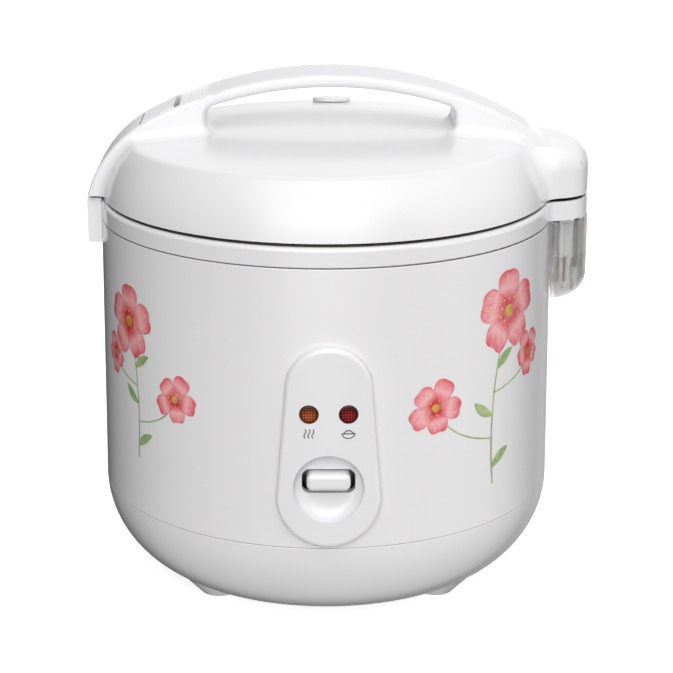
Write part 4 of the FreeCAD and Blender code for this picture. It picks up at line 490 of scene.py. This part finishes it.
# Prints
def petal_finish():
    """Watercolour petal: deep at the root, pale in the middle, streaked along its length, blotched."""
    made, nodes, link, shader = material("petal_print")
    uv = nodes.new("ShaderNodeUVMap")
    parts = nodes.new("ShaderNodeSeparateXYZ")
    link(uv.outputs[0], parts.inputs[0])
    stretch = nodes.new("ShaderNodeCombineXYZ")
    link(math_node(nodes, link, "MULTIPLY", parts.outputs[0], 2.5), stretch.inputs[0])
    link(math_node(nodes, link, "MULTIPLY", parts.outputs[1], 9.0), stretch.inputs[1])
    streak = noise(nodes, link, stretch.outputs[0], 1.6, 3.0)
    wash = nodes.new("ShaderNodeValToRGB")
    stops = wash.color_ramp.elements
    stops[0].position, stops[0].color = 0.0, (0.4, 0.008, 0.03, 1)
    stops[1].position, stops[1].color = 1.0, (0.62, 0.02, 0.05, 1)
    for place, colour in ((0.26, (0.74, 0.07, 0.11, 1)), (0.55, (0.92, 0.5, 0.5, 1)), (0.82, (0.82, 0.16, 0.2, 1))):
        stop = stops.new(place)
        stop.color = colour
    link(parts.outputs[0], wash.inputs[0])
    place = nodes.new("ShaderNodeTexCoord").outputs["Object"]
    blotch = ramp(nodes, link, noise(nodes, link, place, 110.0, 4.0), 0.4, 0.75, 0.0, 0.55)
    rim = ramp(nodes, link, math_node(nodes, link, "ABSOLUTE", parts.outputs[1]), 0.45, 1.0, 0.0, 0.7)
    body = mix(nodes, link, rim, wash.outputs[0], (0.66, 0.03, 0.07, 1))
    pale = mix(nodes, link, blotch, body, (0.93, 0.55, 0.54, 1))
    veins = ramp(nodes, link, streak, 0.5, 0.72, 0.0, 0.7)
    link(mix(nodes, link, veins, pale, (0.7, 0.03, 0.07, 1)), shader.inputs["Base Color"])
    link(ramp(nodes, link, streak, 0.2, 0.8, 0.24, 0.34), shader.inputs["Roughness"])
    shader.inputs["Coat Weight"].default_value = 0.6
    return made


def plant_finish(name, light, dark):
    """Watercolour stroke between two tones, clouded along it."""
    made, nodes, link, shader = material(name)
    place = nodes.new("ShaderNodeTexCoord").outputs["Object"]
    cloud = ramp(nodes, link, noise(nodes, link, place, 140.0, 4.0), 0.35, 0.65, 0.0, 1.0)
    link(mix(nodes, link, cloud, light, dark), shader.inputs["Base Color"])
    link(ramp(nodes, link, cloud, 0.0, 1.0, 0.25, 0.34), shader.inputs["Roughness"])
    shader.inputs["Coat Weight"].default_value = 0.6
    return made


def petal(centre, angle, length, width, lift):
    """Petal sheet: an oval of polar points, notched at its tip, narrowed to its root, turned about the centre."""
    reach, swing = np.meshgrid(np.linspace(0, 1, 7), np.linspace(-math.pi, math.pi, 33), indexing="ij")
    notch = 1 - 0.16 * np.exp(-(swing / 0.38) ** 2) + 0.025 * np.sin(6 * swing + angle)
    along = 0.5 + 0.5 * reach * np.cos(swing) * notch
    aside = reach * np.sin(swing) * notch * (0.5 + 0.5 * np.clip(along, 0, 1))
    s = centre[0] + length * along * math.cos(angle) - width * aside * math.sin(angle)
    z = centre[1] + length * along * math.sin(angle) + width * aside * math.cos(angle)
    return on_body(s, z, np.full_like(s, lift)), np.stack([along, aside], -1)


def disc(centre, size, lift, where=on_body):
    """Round sheet of a size about a centre."""
    reach, swing = np.meshgrid(np.linspace(0, 1, 4), np.linspace(-math.pi, math.pi, 25), indexing="ij")
    s = centre[0] + size * reach * np.cos(swing)
    z = centre[1] + size * reach * np.sin(swing)
    return where(s, z, np.full_like(s, lift)), np.stack([reach, swing / math.pi], -1)


def stroke(path, width, lift, where=on_body):
    """Ribbon sheet along a path of (s, z) points, its half width given at each point."""
    path = np.asarray(path, dtype=float)
    way = np.gradient(path, axis=0)
    way /= np.linalg.norm(way, axis=1)[:, None]
    side = np.stack([-way[:, 1], way[:, 0]], 1)
    half = np.broadcast_to(np.asarray(width, dtype=float), (len(path),))[:, None, None] / 2
    across = np.linspace(-1, 1, 5)[None, :, None]
    spread = path[:, None, :] + side[:, None, :] * half * across
    run = np.linspace(0, 1, len(path))[:, None].repeat(5, 1)
    return (where(spread[..., 0], spread[..., 1], np.full(run.shape, lift)),
            np.stack([run, np.broadcast_to(across[..., 0], run.shape)], -1))


def bend(start, knee, end, count=24):
    """Points of the curve from start to end that leans towards a knee point."""
    t = np.linspace(0, 1, count)[:, None]
    start, knee, end = (np.array(p) for p in (start, knee, end))
    return (1 - t) ** 2 * start + 2 * t * (1 - t) * knee + t ** 2 * end


def leaf(root, angle, length, lift):
    """Pointed leaf: a ribbon whose width swells as a sine along it."""
    way = np.array([math.cos(angle), math.sin(angle)])
    side = np.array([-way[1], way[0]])
    path = bend(root, np.array(root) + way * length / 2 + side * length / 8, np.array(root) + way * length)
    swell = np.sin(np.linspace(0, math.pi, len(path))) ** 0.8
    return stroke(path, length * 0.34 * swell, lift)


def blossom(centre, size, turn):
    """Petal sheets of one open blossom, each a layer above the last."""
    sheets = []
    for i in range(PETALS):
        angle = turn + 2 * math.pi * i / PETALS
        length = size * (0.94 + 0.08 * math.sin(3 * i + turn))
        sheets.append(petal(centre, angle, length, size * 0.46, PRINT_LIFT + LAYER * (2 + i % 3)))
    return sheets


def stamens(centre, size, turn):
    """Eye of a blossom with a ring of dots."""
    lift = PRINT_LIFT + LAYER * 6
    sheets = [disc(centre, size * 0.13, lift)]
    for i in range(2 * PETALS):
        angle = turn + math.pi * i / PETALS
        reach = size * (0.25 + 0.05 * (i % 2))
        spot = (centre[0] + reach * math.cos(angle), centre[1] + reach * math.sin(angle))
        sheets.append(disc(spot, size * 0.028, lift))
    return sheets


def sprig(name, root, lean, height, scale):
    """Blossom sprig: a leaning stem with an open blossom at its tip, two side shoots, buds and leaves."""
    tip = (root[0] + lean, root[1] + height)
    stem = bend(root, (root[0] - lean * 0.5, root[1] + height * 0.55), tip)
    greens = [stroke(stem, STEM_W * np.linspace(1.2, 0.7, len(stem)), PRINT_LIFT)]
    petals, eyes = [], []
    heads = [(np.array(tip), 1.0, 0.3)]
    for i, share in enumerate((0.3, 0.55)):
        side = math.copysign(1, lean) * (1 if i else -1)
        start = stem[int(share * (len(stem) - 1))]
        end = start + np.array([side * height * (0.4 - 0.06 * i), height * (0.26 - 0.1 * i)])
        greens.append(stroke(bend(start, start + (end - start) * np.array([0.8, 0.2]), end), STEM_W * 0.8, PRINT_LIFT))
        heads.append((end, 0.66 - 0.12 * i, 1.1 + i))
    for i, share in enumerate((0.12, 0.42, 0.68)):
        side = -1 if i % 2 else 1
        greens.append(leaf(stem[int(share * (len(stem) - 1))], math.pi / 2 - side * 0.95, 0.017 * scale, PRINT_LIFT))
    for centre, share, turn in heads:
        size = BLOSSOM_R * scale * share
        petals += blossom(centre, size, turn)
        eyes += stamens(centre, size, turn)
    for sheets, part, finish in ((greens, "green", GREEN), (petals, "petals", PETAL), (eyes, "eyes", POLLEN)):
        piece(name + "_" + part, sheets, finish, "base")


def panel_signs():
    """Signs under the lenses: three rising waves at the left, a bowl under a short wave at the right."""
    lift = PRINT_LIFT
    z = LENS_Z - SIGN_DROP
    t = np.linspace(-1, 1, 21)
    waves = []
    for step in (-1, 0, 1):
        x = -LENS_X + step * SIGN_R * 0.62 + SIGN_R * 0.16 * np.sin(math.pi * t)
        waves.append(stroke(np.stack([x, z + SIGN_R * 0.75 * t], 1), SIGN_LINE, lift, on_panel))
    low = np.linspace(math.pi, 2 * math.pi, 25)
    bowl = np.stack([LENS_X + SIGN_R * np.cos(low), z + SIGN_R * 0.75 * np.sin(low)], 1)
    brim = np.stack([LENS_X + SIGN_R * 1.12 * t, np.full_like(t, z)], 1)
    heap = np.stack([LENS_X + SIGN_R * 0.8 * t, z + SIGN_R * 0.55 * (1 - t ** 2)], 1)
    strokes = waves + [stroke(path, SIGN_LINE, lift, on_panel) for path in (bowl, brim, heap)]
    piece("panel_signs", strokes, INK, "base")


PETAL = petal_finish()
GREEN = plant_finish("leaf_print", (0.46, 0.56, 0.26, 1), (0.25, 0.4, 0.16, 1))
POLLEN = plant_finish("pollen_print", (0.85, 0.62, 0.08, 1), (0.55, 0.28, 0.04, 1))
INK = plant_finish("sign_ink", (0.06, 0.06, 0.06, 1), (0.12, 0.12, 0.12, 1))


def dress_solids():
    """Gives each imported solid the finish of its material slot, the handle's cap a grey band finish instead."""
    band = skin_finish("band_plastic", BAND_GREY, (0.72, 0.72, 0.74, 1), (0.25, 0.4), 1100.0, 0.00004, 0.1)
    for part in frame["record"]["subparts"]:
        node = frame["nodes"][part["node"]]
        finish = FINISHES[part["material_slot"]]
        if part["node"] == "handle_cap":
            finish = band
        node.data.materials.clear()
        node.data.materials.append(finish)


# Studio
def make_world():
    """Soft room light: a few wide glows, each a smooth spot about a direction, added together."""
    world = bpy.data.worlds.new("studio")
    bpy.context.scene.world = world
    world.use_nodes = True
    nodes, link = world.node_tree.nodes, world.node_tree.links.new
    way = nodes.new("ShaderNodeTexCoord").outputs["Generated"]
    level = 0.0
    for place, edge, core, strength in GLOWS:
        length = math.sqrt(sum(p * p for p in place))
        facing = nodes.new("ShaderNodeVectorMath")
        facing.operation = "DOT_PRODUCT"
        facing.inputs[1].default_value = [p / length for p in place]
        link(way, facing.inputs[0])
        glow = ramp(nodes, link, facing.outputs["Value"], edge, core, 0.0, strength)
        level = math_node(nodes, link, "ADD", glow, level)
    link(level, nodes["Background"].inputs["Strength"])
    nodes["Background"].inputs["Color"].default_value = (1.0, 0.988, 0.99, 1)


def make_floor():
    """Plain pale floor, a wide disc."""
    turns = np.linspace(0, 2 * math.pi, 96, endpoint=False)
    rim = np.stack([FLOOR_R * np.cos(turns), FLOOR_R * np.sin(turns), np.zeros_like(turns)], 1)
    mesh = bpy.data.meshes.new("floor")
    mesh.from_pydata(rim.tolist(), [], [list(range(len(turns)))])
    floor = bpy.data.objects.new("floor", mesh)
    bpy.context.scene.collection.objects.link(floor)
    made, nodes, link, shader = material("floor_paper")
    shader.inputs["Base Color"].default_value = FLOOR_COLOUR + (1,)
    shader.inputs["Roughness"].default_value = 0.9
    shader.inputs["Emission Color"].default_value = (1, 1, 1, 1)
    shader.inputs["Emission Strength"].default_value = FLOOR_GLOW
    mesh.materials.append(made)
    floor.visible_glossy = False
    floor.visible_diffuse = False
    floor.visible_transmission = False


def make_camera():
    """Camera at the photograph's angle."""
    data = bpy.data.cameras.new("camera")
    data.sensor_width = SENSOR
    data.lens = FOCAL_PIXELS * SENSOR / PICTURE
    data.shift_x = (PICTURE / 2 - AXIS_PIXEL_X) / PICTURE
    camera = bpy.data.objects.new("camera", data)
    bpy.context.scene.collection.objects.link(camera)
    x, y, z = CAMERA_PLACE
    camera.location = (x - y * math.sin(CAMERA_TURN), y * math.cos(CAMERA_TURN), z)
    camera.rotation_euler = (math.pi / 2 - CAMERA_PITCH, 0, CAMERA_TURN)
    bpy.context.scene.camera = camera


def make_studio():
    """Camera, light and floor."""
    bpy.context.scene.view_settings.view_transform = "Standard"
    make_world()
    make_floor()
    make_camera()


dress_solids()
sprig("right_sprig", RIGHT_ROOT, 0.012, 0.098, 1.0)
sprig("left_sprig", LEFT_ROOT, -0.008, 0.078, 0.9)
panel_signs()
seals()
cup_ribs()
make_studio()
